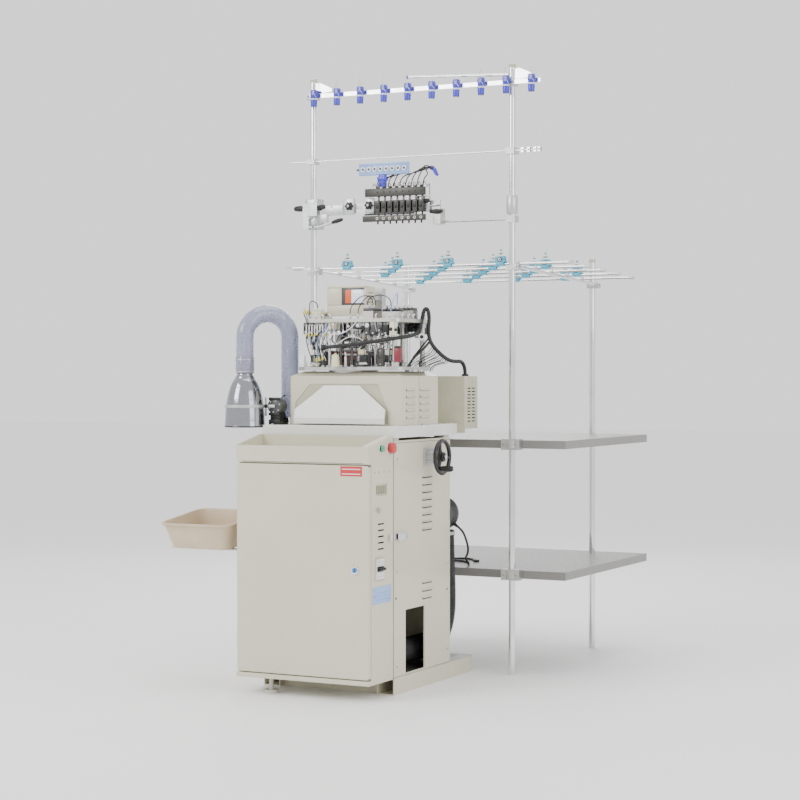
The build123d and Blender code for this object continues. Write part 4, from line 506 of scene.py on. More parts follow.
def spaced(line, gap):
    """A line's points again, evenly spaced."""
    total = [0.0]
    for before, after in zip(line, line[1:]):
        total.append(total[-1] + (after - before).length)
    count = max(2, round(total[-1] / gap))
    out = []
    index = 0
    for step in range(count + 1):
        reach = total[-1] * step / count
        while index < len(total) - 2 and total[index + 1] < reach:
            index += 1
        span = max(total[index + 1] - total[index], 1e-9)
        out.append(line[index].lerp(line[index + 1], (reach - total[index]) / span))
    return out


def tube(bm, line, radii, sides=16, finish=0, caps=True):
    """A skin round a line in mm, with a radius for each point."""
    if not hasattr(radii, "__len__"):
        radii = [radii] * len(line)
    ahead = (line[1] - line[0]).normalized()
    across = ahead.orthogonal().normalized()
    loops = []
    for index, place in enumerate(line):
        before = line[max(index - 1, 0)]
        after = line[min(index + 1, len(line) - 1)]
        heading = (after - before).normalized()
        across = ahead.rotation_difference(heading) @ across
        ahead = heading
        turn = Matrix((across, ahead.cross(across), ahead)).transposed().to_4x4()
        circle = bmesh.ops.create_circle(
            bm, cap_ends=False, segments=sides, radius=radii[index] * MM,
            matrix=Matrix.Translation(place * MM) @ turn,
        )["verts"]
        loops.append(circle)
    faces = []
    for near, far in zip(loops, loops[1:]):
        for side in range(sides):
            nxt = (side + 1) % sides
            faces.append(bm.faces.new((near[side], near[nxt], far[nxt], far[side])))
    if caps:
        faces.append(bm.faces.new(list(reversed(loops[0]))))
        faces.append(bm.faces.new(loops[-1]))
    tint(faces, finish)
    return faces


def wire(bm, points, radius, finish=0, sides=8, count=6):
    """A bent wire or small cable through a route in mm."""
    tube(bm, smooth_line(points, count), radius, sides, finish)


def finish_piece(bm, name, finishes, body="machine", replaces=(), angle=38):
    """Turns the mesh in the making into a finished, riding piece."""
    limit = radians(angle)
    for face in bm.faces:
        face.smooth = True
    for edge in bm.edges:
        edge.smooth = len(edge.link_faces) == 2 and edge.calc_face_angle(0) < limit
    mesh = bpy.data.meshes.new(name)
    bm.to_mesh(mesh)
    bm.free()
    piece = bpy.data.objects.new(name, mesh)
    bpy.context.scene.collection.objects.link(piece)
    for key in finishes:
        mesh.materials.append(FINISHES[key])
    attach(piece, body)
    if replaces:
        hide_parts(*replaces)
    return piece


def repaint(node, key):
    """Gives a frame node one finish."""
    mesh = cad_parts[node].data
    mesh.materials.clear()
    mesh.materials.append(FINISHES[key])


# ---------------------------------------------------------------- settings
class KnitEnamelSettings(PropertyGroup):
    """The enamel's colour, and sizes of the sheet metal's small parts."""

    colour: FloatVectorProperty(
        name="Enamel", description="Colour of the cabinet's and hood's enamel",
        default=rgb(203, 198, 176)[:3], min=0.0, max=1.0, size=3, subtype="COLOR",
    )
    screw_radius: FloatProperty(
        name="Panel screw", description="Radius of the panel screws' heads",
        default=0.0055, min=0.002, max=0.01, unit="LENGTH",
    )
    louvre_lip: FloatProperty(
        name="Louvre lip", description="How far the hood's louvre lips stand out",
        default=0.006, min=0.001, max=0.008, unit="LENGTH",
    )


class KnitHeadSettings(PropertyGroup):
    """Numbers and sizes of the knitting head."""

    needles: IntProperty(
        name="Needles", description="Number of needles in the cylinder",
        default=96, min=24, max=200,
    )
    seed: IntProperty(
        name="Fittings seed", description="Order of the small fittings round the cams",
        default=7, min=0, max=99,
    )
    tube_radius: FloatProperty(
        name="Air tube", description="Radius of the small pneumatic tubes",
        default=0.0017, min=0.0008, max=0.004, unit="LENGTH",
    )


class KnitCreelSettings(PropertyGroup):
    """Sizes of the creel's small parts."""

    disc_radius: FloatProperty(
        name="Tension disc", description="Radius of the yarn tension discs",
        default=0.013, min=0.006, max=0.016, unit="LENGTH",
    )
    eyelet_radius: FloatProperty(
        name="Eyelet", description="Radius of the ceramic eyelets",
        default=0.0055, min=0.003, max=0.008, unit="LENGTH",
    )


class KnitStageSettings(PropertyGroup):
    """The floor and the lights."""

    floor_colour: FloatVectorProperty(
        name="Floor", description="Colour of the floor",
        default=(0.95, 0.95, 0.95), min=0.0, max=1.0, size=3, subtype="COLOR",
    )
    key_power: FloatProperty(
        name="Key light", description="Power of the main soft light in watts",
        default=150.0, min=0.0, max=2000.0,
    )


# ---------------------------------------------------------------- sheet metal
CABINET_RIGHT = 258


class KNIT_OT_finishes(Operator):
    """Makes the machine's enamels, metals, plastics and rubber"""

    bl_idname = "knit.finishes"
    bl_label = "Make the finishes"

    def execute(self, context):
        make_finishes(context.scene.knit_enamel.colour)
        return {"FINISHED"}


class KNIT_OT_coat_frame(Operator):
    """Gives the frame's own sheet metal, castings and tubes their finishes"""

    bl_idname = "knit.coat_frame"
    bl_label = "Coat the frame"

    COATS = {
        "base_frame": "cream", "base_deck": "steel", "columns": "grey",
        "side_panel_right": "cream", "side_panel_left": "cream", "rear_panel": "cream",
        "machine_plate": "pale", "cabinet_shell": "cream", "cabinet_brackets": "grey",
        "cabinet_door": "cream", "door_hinges": "steel", "control_panel": "white",
        "side_fittings": "putty", "latch_base": "chrome", "latch_lever": "chrome",
        # hood_bay takes the darker putty enamel as painted shade: it stands for the shade inside
        # the hood's recessed bay.
        "wheel_bracket": "zinc", "hood_shell": "cream", "hood_bay": "putty",
        "hood_scoop": "pale", "rear_box": "putty", "head_bed": "steel",
        "head_top_plate": "ivory_metal", "display_mast": "zinc", "outlet_tube": "cloth",
        "bin_bracket": "grey", "poles": "chrome", "shelf_high": "shelf",
        "shelf_low": "shelf", "creel_clamps": "zinc", "top_rails": "chrome",
        "feeder_rail": "steel", "creel_grid": "chrome", "door_lock": "chrome",
    }

    def execute(self, context):
        for node, key in self.COATS.items():
            repaint(node, key)
        return {"FINISHED"}


class KNIT_OT_panel_details(Operator):
    """Screws, seams, label plates and louvre lips on the cabinet, panels and hood"""

    bl_idname = "knit.panel_details"
    bl_label = "Panel details"

    def execute(self, context):
        settings = context.scene.knit_enamel
        head = settings.screw_radius / MM
        bm = bmesh.new()
        for side in (1, -1):
            face = side * CABINET_RIGHT
            for y, z in ((-166, 808), (-171, 423), (233, 808), (233, 420), (230, 110), (-170, 96)):
                screw(bm, (face, y, z), (side, 0, 0), head, 0, 1)
            for y, z in ((-174, 331), (229, 325)):
                bar(bm, (face - side, y, z), (face + side * 0.4, y, z), head * 0.9, finish=1)
        for x in (-235, -80, 80, 235):
            for z in (96, 400, 840):
                screw(bm, (x, 254, z), BACK, head, 0, 1)
        for x, y in ((-246, -150), (246, -150), (-246, 290), (246, 290), (246, 60)):
            screw(bm, (x, y, 920), UP, head * 1.2, 0, 1)
        for y in (-330, -300, -262, -232):
            screw(bm, (258, y, 769), RIGHT, head * 0.7, 0, 1)
        finish_piece(bm, "panel_screws", ["zinc", "black"])

        bm = bmesh.new()
        brick(bm, (257.6, 43.5, 62), (258.35, 44.7, 285), finish=0)
        brick(bm, (257.6, -191, 862), (258.3, 252, 863.4), finish=0)
        brick(bm, (-236, -372.4, 799), (236, -371.8, 800.6), finish=0)
        brick(bm, (239.6, 38, 925), (240.4, 39.4, 1090), finish=0)
        finish_piece(bm, "panel_seams", ["slate"])

        bm = bmesh.new()
        lip = settings.louvre_lip / MM
        for low_y, high_y in ((-62, 6), (48, 118)):
            for row in range(5):
                z = 951 + 24 * row
                slab(
                    bm,
                    [(239, low_y, z + 3), (240.4, low_y, z + 3), (240 + lip, low_y, z - 5.5),
                     (240 + lip - 1.2, low_y, z - 5.5), (239, low_y, z + 1)],
                    (0, high_y - low_y, 0), bevel=0.3,
                )
        for z in range(640, 820, 24):
            slab(bm, [(-180, 253.5, z + 12), (-180, 254.6, z + 12), (-180, 258, z + 6),
                      (-180, 257, z + 6), (-180, 253.5, z + 9)], (120, 0, 0), bevel=0.3)
        finish_piece(bm, "louvre_lips", ["cream"])

        bm = bmesh.new()
        slab(bm, [(150, -372.1, 757), (232, -372.1, 757), (232, -372.1, 790), (150, -372.1, 790)],
             (0, -0.5, 0), finish=0)
        for z in (763, 779):
            slab(bm, [(156, -372.6, z), (226, -372.6, z), (226, -372.6, z + 3),
                      (156, -372.6, z + 3)], (0, -0.15, 0), finish=1)
        slab(bm, [(258.1, -345, 326), (258.1, -210, 326), (258.1, -210, 384), (258.1, -345, 384)],
             (0.5, 0, 0), finish=2)
        for z in (338, 350, 362):
            slab(bm, [(258.6, -320, z), (258.6, -218, z), (258.6, -218, z + 2.4),
                      (258.6, -320, z + 2.4)], (0.15, 0, 0), finish=3)
        bar(bm, (258.5, -333, 352), (258.9, -333, 352), 6, finish=3)
        finish_piece(bm, "blank_plates", ["red", "white", "sky", "pale_blue"])
        return {"FINISHED"}


class KNIT_OT_door_furniture(Operator):
    """The door's blue lock face, which turns with the lock"""

    bl_idname = "knit.door_furniture"
    bl_label = "Door lock"

    def execute(self, context):
        bm = bmesh.new()
        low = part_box("door_lock")[0][1] / MM
        lathe(bm, [(0, 1.0), (6, 1.2), (8.5, 0.6), (9.5, -0.5), (9.5, -2)],
              (205, low - 0.2, 443), FRONT, 28, 0)
        lathe(bm, [(9.8, -2), (9.8, 0.6), (11.5, 1.6), (14, 1.2), (15, 0), (15, -2)],
              (205, low - 0.2, 443), FRONT, 32, 1)
        brick(bm, (203.8, low - 2.2, 438), (206.2, low - 1.2, 448), finish=2)
        for angle in (0, 90, 180, 270):
            x = 205 + 12.5 * cos(radians(angle))
            z = 443 + 12.5 * sin(radians(angle))
            bar(bm, (x, low - 1.0, z), (x, low - 1.9, z), 1.1, finish=2, sides=8)
        finish_piece(bm, "lock_face", ["lock_blue", "chrome", "black"], "lock")
        return {"FINISHED"}


class KNIT_OT_switchgear(Operator):
    """The breaker, its toggles and the two push buttons"""

    bl_idname = "knit.switchgear"
    bl_label = "Switches and breaker"

    def execute(self, context):
        bm = bmesh.new()
        brick(bm, (200, -332, 401), (258.8, -259, 485), 1.0, 2)
        brick(bm, (200, -322, 409), (262.6, -320.4, 477), 0.3, 0)
        brick(bm, (200, -270.6, 409), (262.6, -269, 477), 0.3, 0)
        for pole in range(3):
            low = -319.5 + 16.6 * pole
            brick(bm, (200, low, 409), (262.4, low + 15.8, 434), 0.8, 0)
            brick(bm, (200, low, 452), (262.4, low + 15.8, 477), 0.8, 0)
            bar(bm, (262, low + 7.9, 418), (262.9, low + 7.9, 418), 3.2, finish=3, sides=14)
            bar(bm, (262, low + 7.9, 468), (262.9, low + 7.9, 468), 3.2, finish=3, sides=14)
        finish_piece(bm, "breaker_body", ["white", "black", "putty", "zinc"], "machine",
                     ["breaker_block"])

        bm = bmesh.new()
        bar(bm, (257, -319.5, 443), (257, -270.5, 443), 8, sides=28)
        for pole in range(3):
            mid = -295.5 + 16.6 * (pole - 1)
            brick(bm, (258, mid - 5, 438.6), (273.4, mid + 5, 447.4), 1.6, 0)
        bar(bm, (270.6, -317, 443), (270.6, -274, 443), 2.6, sides=14, bevel=0.6)
        finish_piece(bm, "breaker_levers", ["black"], "toggles",
                     ["breaker_toggles"])

        for name, body, node, y, cap, radius, reach in (
            ("start_cap", "start", "start_button", -285, "green", 12, 16),
            ("stop_cap", "stop", "stop_button", -222, "red", 18.6, 26),
        ):
            bm = bmesh.new()
            bar(bm, (244, y, 848), (262.8, y, 848), 8.9, sides=28)
            dome = [(0, reach - 4), (radius * 0.5, reach - 4.4), (radius * 0.86, reach - 6),
                    (radius, reach - 9), (radius, 5.4), (radius - 1.2, 4.7), (0, 4.7)]
            lathe(bm, dome, (258, y, 848), RIGHT, 36, 1)
            ring(bm, (258 + reach - 5.4, y, 848), RIGHT, radius * 0.55, 0.4, 1)
            finish_piece(bm, name, ["black", cap], body,
                         [node])
        bm = bmesh.new()
        for y, cap, radius in ((-285, 12, 15.5), (-222, 18.6, 22)):
            lathe(bm, [(cap + 0.8, 0.1), (cap + 0.8, 2.4), (radius - 1, 2.2), (radius, 1.2),
                       (radius, 0.1)], (258, y, 848), RIGHT, 36, 0, closed=True)
        finish_piece(bm, "button_bezels", ["chrome"])
        return {"FINISHED"}


class KNIT_OT_handwheel(Operator):
    """The crank wheel: a rounded black rim, three swept spokes, a bright hub and a grip"""

    bl_idname = "knit.handwheel"
    bl_label = "Handwheel"

    def execute(self, context):
        bm = bmesh.new()
        centre = (312, 79, 807)
        rim = [(57 + 7.6 * cos(tau * s / 14), 7.6 * sin(tau * s / 14))
               for s in range(14)]
        lathe(bm, rim, centre, RIGHT, 64, 0, closed=True)
        ring(bm, (314.5, 79, 807), RIGHT, 51.6, 1.0, 1, sides=64)
        lathe(bm, [(0, 15), (6, 15), (8, 13.5), (9, 9), (16, 8), (17, 5), (17, -14), (15, -16),
                   (0, -16)], centre, RIGHT, 36, 0)
        for spoke in range(3):
            angle = radians(235 + 120 * spoke)
            out = Vector((0, cos(angle), sin(angle)))
            middle = Vector(centre)
            line = [middle + out * reach + Vector((dip, 0, 0))
                    for reach, dip in ((12, -4), (24, -4.5), (36, -2.5), (46, -0.5), (54, 0))]
            tube(bm, line, [8.4, 7.0, 6.2, 6.6, 8.0], 14, 0)
        grip_y = 79 + 48 * cos(radians(235))
        grip_z = 807 + 48 * sin(radians(235))
        lathe(bm, [(0, 8), (6, 8), (9, 6), (9.4, -4), (0, -4)], (312, grip_y, grip_z), RIGHT, 24,
              0)
        bar(bm, (300, grip_y, grip_z), (369.6, grip_y, grip_z), 2.9, sides=16, finish=1)
        bar(bm, (230, 79, 807), (328, 79, 807), 7.9, sides=24, finish=1)
        screw(bm, (328, 79, 807), RIGHT, 5, 1, 0)
        finish_piece(bm, "crank_wheel", ["gloss_black", "chrome"], "wheel",
                     ["handwheel"])

        bm = bmesh.new()
        low = 321.2
        lathe(bm, [(3.3, 0), (8, 0), (9.2, 1.5), (8.6, 5), (9.6, 14), (11.2, 26), (11.3, 33),
                   (10.0, 40), (7.4, 44.5), (3.3, 46)], (low, grip_y, grip_z), RIGHT, 32, 0,
              closed=True)
        for groove in (6, 40.5):
            ring(bm, (low + groove, grip_y, grip_z), RIGHT, 9.1, 0.45, 0, 28)
        finish_piece(bm, "crank_grip", ["black"], "grip", ["wheel_grip"])
        bm = bmesh.new()
        for y, z in ((43, 783), (43, 831), (115, 783), (115, 831)):
            screw(bm, (264.3, y, z), RIGHT, 4.6, 0, 1)
        for z in (791, 823):
            bar(bm, (262, 50, z), (290, 50, z), 5, finish=0, bevel=1)
        lathe(bm, [(8.6, 0.1), (8.6, 2.2), (15, 2.2), (17, 0.1)], (292, 79, 807), RIGHT, 32, 0,
              closed=True)
        finish_piece(bm, "wheel_bracket_bolts", ["zinc", "black"])
        return {"FINISHED"}


# ---------------------------------------------------------------- suction line
SUCTION_ROUTE = [
    (60, -70, 300), (95, -70, 240), (150, -66, 165), (166, -10, 132), (168, 60, 119),
    (168, 180, 118), (168, 262, 118), (174, 300, 126), (196, 301, 170), (212, 300, 235),
    (212, 300, 330), (207, 300, 430), (205, 300, 531),
]


class KNIT_OT_suction_line(Operator):
    """The corrugated suction hose with its clamps, and the finned blower"""

    bl_idname = "knit.suction_line"
    bl_label = "Suction hose and blower"

    def execute(self, context):
        bm = bmesh.new()
        line = spaced(smooth_line(SUCTION_ROUTE, 10), 2.2)
        radii = [43.2 + 1.7 * sin(tau * step / 4) for step in range(len(line))]
        tube(bm, line, radii, 30, 0)
        finish_piece(bm, "corrugated_hose", ["rubber"], "machine",
                     ["suction_hose"])
        bm = bmesh.new()
        ring(bm, (168, 258, 118), BACK, 45.6, 1.2, 0, 40)
        lathe(bm, [(44.8, -6), (46.2, -6), (46.2, 6), (44.8, 6)], (205.2, 300, 520), UP, 40, 0,
              closed=True)
        brick(bm, (158, 340, 514), (172, 350, 526), 1, 0,
              turn=Matrix.Rotation(0.6, 3, "Z"), about=(205, 300, 520))
        finish_piece(bm, "hose_clamps", ["zinc"])
        bm = bmesh.new()
        profile = [(0, 0.2), (57, 0.2), (59.6, 2)]
        for fin in range(6):
            base = 7 + 8 * fin
            profile += [(59.6, base), (55.5, base + 1), (55.5, base + 4), (59.6, base + 5)]
        profile += [(59.4, 62), (56, 70), (48, 75), (20, 75.8), (0, 75.8)]
        lathe(bm, profile, (205, 254, 592), BACK, 48, 0)
        for spoke in range(8):
            angle = tau * spoke / 8
            x, z = 205 + 34 * cos(angle), 592 + 34 * sin(angle)
            bar(bm, (x, 328, z), (x, 330.3, z), 5.5, finish=1, sides=18)
        screw(bm, (205, 330, 592), BACK, 7, 2, 1)
        finish_piece(bm, "finned_blower", ["slate", "black", "zinc"], "machine",
                     ["blower"])
        return {"FINISHED"}


# ---------------------------------------------------------------- sock outlet
BELL = Vector((-341, -180, 0))
HOSE_FOOT = Vector((-236, -43, 0))


class KNIT_OT_sock_outlet(Operator):
    """The spun bell, the clear hose that arches into the plate, and the bell's clamp"""

    bl_idname = "knit.sock_outlet"
    bl_label = "Sock outlet"

    def execute(self, context):
        bm = bmesh.new()
        outside = [(72.6, 912), (72.2, 916), (71.2, 935), (69.8, 960), (67.8, 985), (64.2, 1008),
                   (59.4, 1030), (53.4, 1050), (46, 1068), (39.5, 1079), (35.4, 1083),
                   (34.4, 1086),
                   (33.6, 1090), (30.2, 1094), (28.2, 1098), (28.2, 1128)]
        inside = [(radius - 1.8, height) for radius, height in reversed(outside)]
        lathe(bm, outside + inside, BELL, UP, 72, 0, closed=True)
        ring(bm, BELL + up(1052), UP, 53.2, 0.9, 0, 64)
        ring(bm, BELL + up(1008), UP, 64.4, 0.7, 0, 64)
        rim = [(72.9 + 0.9 * cos(tau * s / 8) - 0.9,
                913 + 2.6 * sin(tau * s / 8)) for s in range(8)]
        lathe(bm, rim, BELL, UP, 64, 1, closed=True)
        finish_piece(bm, "spun_bell", ["mirror", "black"], "machine", ["sock_bell"])

        bm = bmesh.new()
        middle = (BELL + HOSE_FOOT) / 2
        reach = (HOSE_FOOT - BELL) / 2
        route = [BELL + up(z) for z in (1101, 1193)]
        route += [
            middle + reach * share + up(height)
            for share, height in ((-1, 1263), (-0.4142, 1313), (0.4142, 1313), (1, 1263))
        ]
        route += [HOSE_FOOT + up(z) for z in (1193, 921)]
        tube(bm, spaced(smooth_line(route, 12), 7.0), 31.2, 48, 0, caps=False)
        piece = finish_piece(bm, "clear_hose", ["hose"], "machine", ["sock_hose"])
        wall = piece.modifiers.new("wall", "SOLIDIFY")
        wall.thickness = 0.0026
        wall.offset = -1
        bm = bmesh.new()
        lathe(bm, [(32.0, 1102), (33.4, 1103), (33.4, 1158), (32.6, 1160), (32.0, 1160)],
              BELL, UP, 56, 0, closed=True)
        for z in (1108, 1150):
            ring(bm, BELL + up(z), UP, 33.2, 0.8, 1, 56)
        lathe(bm, [(32.2, 920.4), (46, 920.4), (46, 925), (36, 927), (34.4, 944), (32.2, 944)],
              HOSE_FOOT, UP, 48, 1, closed=True)
        finish_piece(bm, "hose_collars", ["hose", "chrome"])

        bm = bmesh.new()
        brick(bm, (-262, -150, 920.3), (-214, -98, 938), 2, 0)
        brick(bm, (-258, -146, 936), (-218, -102, 962), 3, 0)
        lathe(bm, [(0, 0), (24, 0), (28.6, 3), (30, 8), (30, 38), (28, 44), (20, 47.6), (0, 47.6)],
              (-240, -148, 985), BACK, 40, 1)
        for spoke in range(6):
            angle = tau * spoke / 6 + 0.3
            screw(bm, (-240 + 22 * cos(angle), -147.6, 985 + 22 * sin(angle)),
                  (0, -1, 0), 3.0, 2, 0)
        brick(bm, (-262, -150.5, 1006), (-218, -140, 1016), 2, 0)
        brick(bm, (-262, -150.5, 952), (-218, -140, 962), 2, 0)
        brick(bm, (-300, -152, 980), (-236, -149, 990), 1, 2)
        brick(bm, (-275, -154, 950), (-268, -150, 1018), 1, 2)
        for z in (958, 1010):
            screw(bm, (-271.5, -154, z), FRONT, 3.4, 2, 0)
        lathe(bm, [(68.9, -5), (72.4, -5), (72.4, 5), (68.9, 5)], BELL + up(985),
              UP, 64, 2, closed=True)
        brick(bm, (-276, -158, 979), (-264, -144, 991), 1, 0)
        bar(bm, (-250, -96, 945), (-232, -88, 948), 5, finish=0)
        wire(bm, [(-240, -104, 1010), (-240, -70, 1030), (-225, -30, 1010), (-205, -10, 960)], 2.4,
             0)
        finish_piece(bm, "bell_holder", ["black", "slate", "zinc"], "machine",
                     ["bell_clamp"])
        return {"FINISHED"}


# ---------------------------------------------------------------- sock bin
class KNIT_OT_sock_bin(Operator):
    """The tan bin with its rolled rim, drafted walls and rounded floor"""

    bl_idname = "knit.sock_bin"
    bl_label = "Sock bin"

    def loop(self, bm, half_x, half_y, corner, height, steps=7):
        """One rounded rectangle of vertices, in the bin's own flat frame."""
        verts = []
        for quarter in range(4):
            mid_x = (half_x - corner) * (1, -1, -1, 1)[quarter]
            mid_y = (half_y - corner) * (1, 1, -1, -1)[quarter]
            for step in range(steps):
                angle = pi / 2 * (quarter + step / (steps - 1))
                verts.append(bm.verts.new(point((mid_x + corner * cos(angle),
                                                 mid_y + corner * sin(angle), height))))
        return verts

    def execute(self, context):
        bm = bmesh.new()
        rings = [
            (104, 99, 20, -92.5), (113, 108, 24, -91.5), (116.5, 111.5, 26, -86),
            (128, 123, 31, -45), (137.5, 132.5, 34, -5), (139.5, 134.5, 35, -1.2),
                 (143, 138, 38, 0),
            (147.5, 142.5, 41, -0.6), (148.8, 143.8, 42, -3.5), (148.2, 143.2, 42, -7.5),
            (146.4, 141.4, 41, -7.6), (145.6, 140.6, 40, -4.4), (142.2, 137.2, 37, -4.6),
            (130.6, 125.6, 33, -45), (119.4, 114.4, 28, -89), (116, 111, 26, -94.5),
            (106, 101, 21, -95.8),
        ]
        loops = [self.loop(bm, *ring_size) for ring_size in rings]
        for near, far in zip(loops, loops[1:]):
            edges = []
            for verts in (near, far):
                for start, end in zip(verts, verts[1:] + verts[:1]):
                    edges.append(bm.edges.get((start, end)) or bm.edges.new((start, end)))
            bmesh.ops.bridge_loops(bm, edges=edges)
        bm.faces.new(loops[0])
        bm.faces.new(list(reversed(loops[-1])))
        bmesh.ops.recalc_face_normals(bm, faces=bm.faces)
        tilt = Matrix.Translation(point((-431.5, -242, 594))) @ Matrix.Rotation(
            radians(7.6), 4, "X")
        bmesh.ops.transform(bm, matrix=tilt, verts=bm.verts)
        finish_piece(bm, "tan_bin", ["tan"], "machine", ["sock_bin"])
        return {"FINISHED"}


# ---------------------------------------------------------------- knitting head
def polar(radius, angle, height):
    """A point round the needle cylinder's axis, in mm and degrees."""
    return Vector((
        radius * cos(radians(angle)), radius * sin(radians(angle)), height
    ))


def turned(angle):
    """A turn about the upright axis, in degrees."""
    return Matrix.Rotation(radians(angle), 3, "Z")


def elbow(bm, spot, angle, finish, metal):
    """A push-in air fitting: hexagon foot, collar and a stub that leans outwards."""
    spot = Vector(spot)
    bar(bm, spot, spot + up(4), 3.6, sides=6, finish=metal)
    bar(bm, spot + up(4), spot + up(9), 3.0, finish=finish, sides=12, bevel=0.4)
    lean = polar(7, angle, 3)
    bar(bm, spot + up(8), spot + up(8) + lean, 2.7, finish=finish, sides=12, bevel=0.4)
    return spot + up(8) + lean


SELECTOR_ANGLES = (-50, -15, 20, 55, 125, 160, 195, 230)
PILLARS = ((-128, -86), (208, -86), (-128, 130), (208, 130), (126, 136), (-20, 138))
PLATE_LOW = 1279.8          # underside of the head's top plate, where pieces hang
PLATE_TOP = 1292            # its upper face
BED_TOP = 1124              # upper face of the head's bed plate


def turned_brick(bm, about, turn, low, high, bevel, finish):
    """A block placed from a point on a ring and turned with it."""
    brick(bm, Vector(low) + about, Vector(high) + about, bevel, finish, turn, about)


class KNIT_OT_needle_cylinder(Operator):
    """The slotted cylinder with its latch needles, and the dial and pulley above it"""

    bl_idname = "knit.needle_cylinder"
    bl_label = "Needle cylinder and dial"

    def execute(self, context):
        count = context.scene.knit_head.needles
        bm = bmesh.new()
        lathe(bm, [(40.3, 1094), (59, 1094), (59, BED_TOP), (47.2, 1126), (47.2, 1176),
                   (45.6, 1178), (45.6, 1185.6), (43.6, 1185.9), (42.6, 1184), (40.3, 1182)],
              (0, 0, 0), UP, 64, 0, closed=True)
        for step in range(count):
            angle = 360 * step / count
            for high, low, depth in ((1185.8, 1177, 46.6), (1176, 1128, 47.4)):
                middle = polar(depth - 0.8, angle, 0)
                brick(bm, (middle.x - 1.0, middle.y - 0.35, low),
                      (middle.x + 1.0, middle.y + 0.35, high),
                      0, 0, turn=turned(angle), about=(middle.x, middle.y, low))
        finish_piece(bm, "slotted_cylinder", ["ground"], "cylinder",
                     ["needle_cylinder"])
        bm = bmesh.new()
        for step in range(count):
            angle = 360 * (step + 0.5) / count
            shaft = polar(45.9, angle, 0)
            tip = 1188.2 + 0.9 * sin(radians(3 * angle))
            bar(bm, (shaft.x, shaft.y, 1150), (shaft.x, shaft.y, tip), 0.42, sides=5)
            hook = polar(44.6, angle, tip + 0.2)
            bar(bm, (shaft.x, shaft.y, tip), hook, 0.34, sides=5)
        finish_piece(bm, "latch_needles", ["chrome"], "cylinder")

        bm = bmesh.new()
        lathe(bm, [(0, 1190.2), (40, 1190.2), (44.4, 1191), (45.3, 1193), (45.3, 1198.6),
                   (44, 1199.8),
                   (36, 1200), (34, 1202.5), (14, 1204), (10, 1206), (10, 1213.6), (0, 1213.6)],
              (0, 0, 0), UP, 56, 0)
        for step in range(count // 2):
            angle = 360 * step / (count // 2)
            middle = polar(38, angle, 0)
            brick(bm, (middle.x - 6.6, middle.y - 0.5, 1199.4),
                  (middle.x + 6.6, middle.y + 0.5, 1200.7),
                  0, 0, turn=turned(angle), about=(middle.x, middle.y, 1200))
        teeth = []
        for step in range(96):
            teeth.append(polar(45.6 if step % 2 else 43.9, 360 * step / 96, 1217))
        slab(bm, teeth, (0, 0, 12), 1)
        lathe(bm, [(0, 1213.4), (46, 1213.4), (46, 1216), (44, 1217), (0, 1217)],
              (0, 0, 0), UP, 56, 0)
        lathe(bm, [(0, 1229), (44, 1229), (46, 1230), (46, 1232), (20, 1232.4), (10, 1235),
                   (9.9, 1239), (9.9, 1288), (0, 1288)], (0, 0, 0), UP, 48, 0)
        finish_piece(bm, "dial_and_pulley", ["ground", "slate"], "dial_drive",
                     ["dial"])
        return {"FINISHED"}


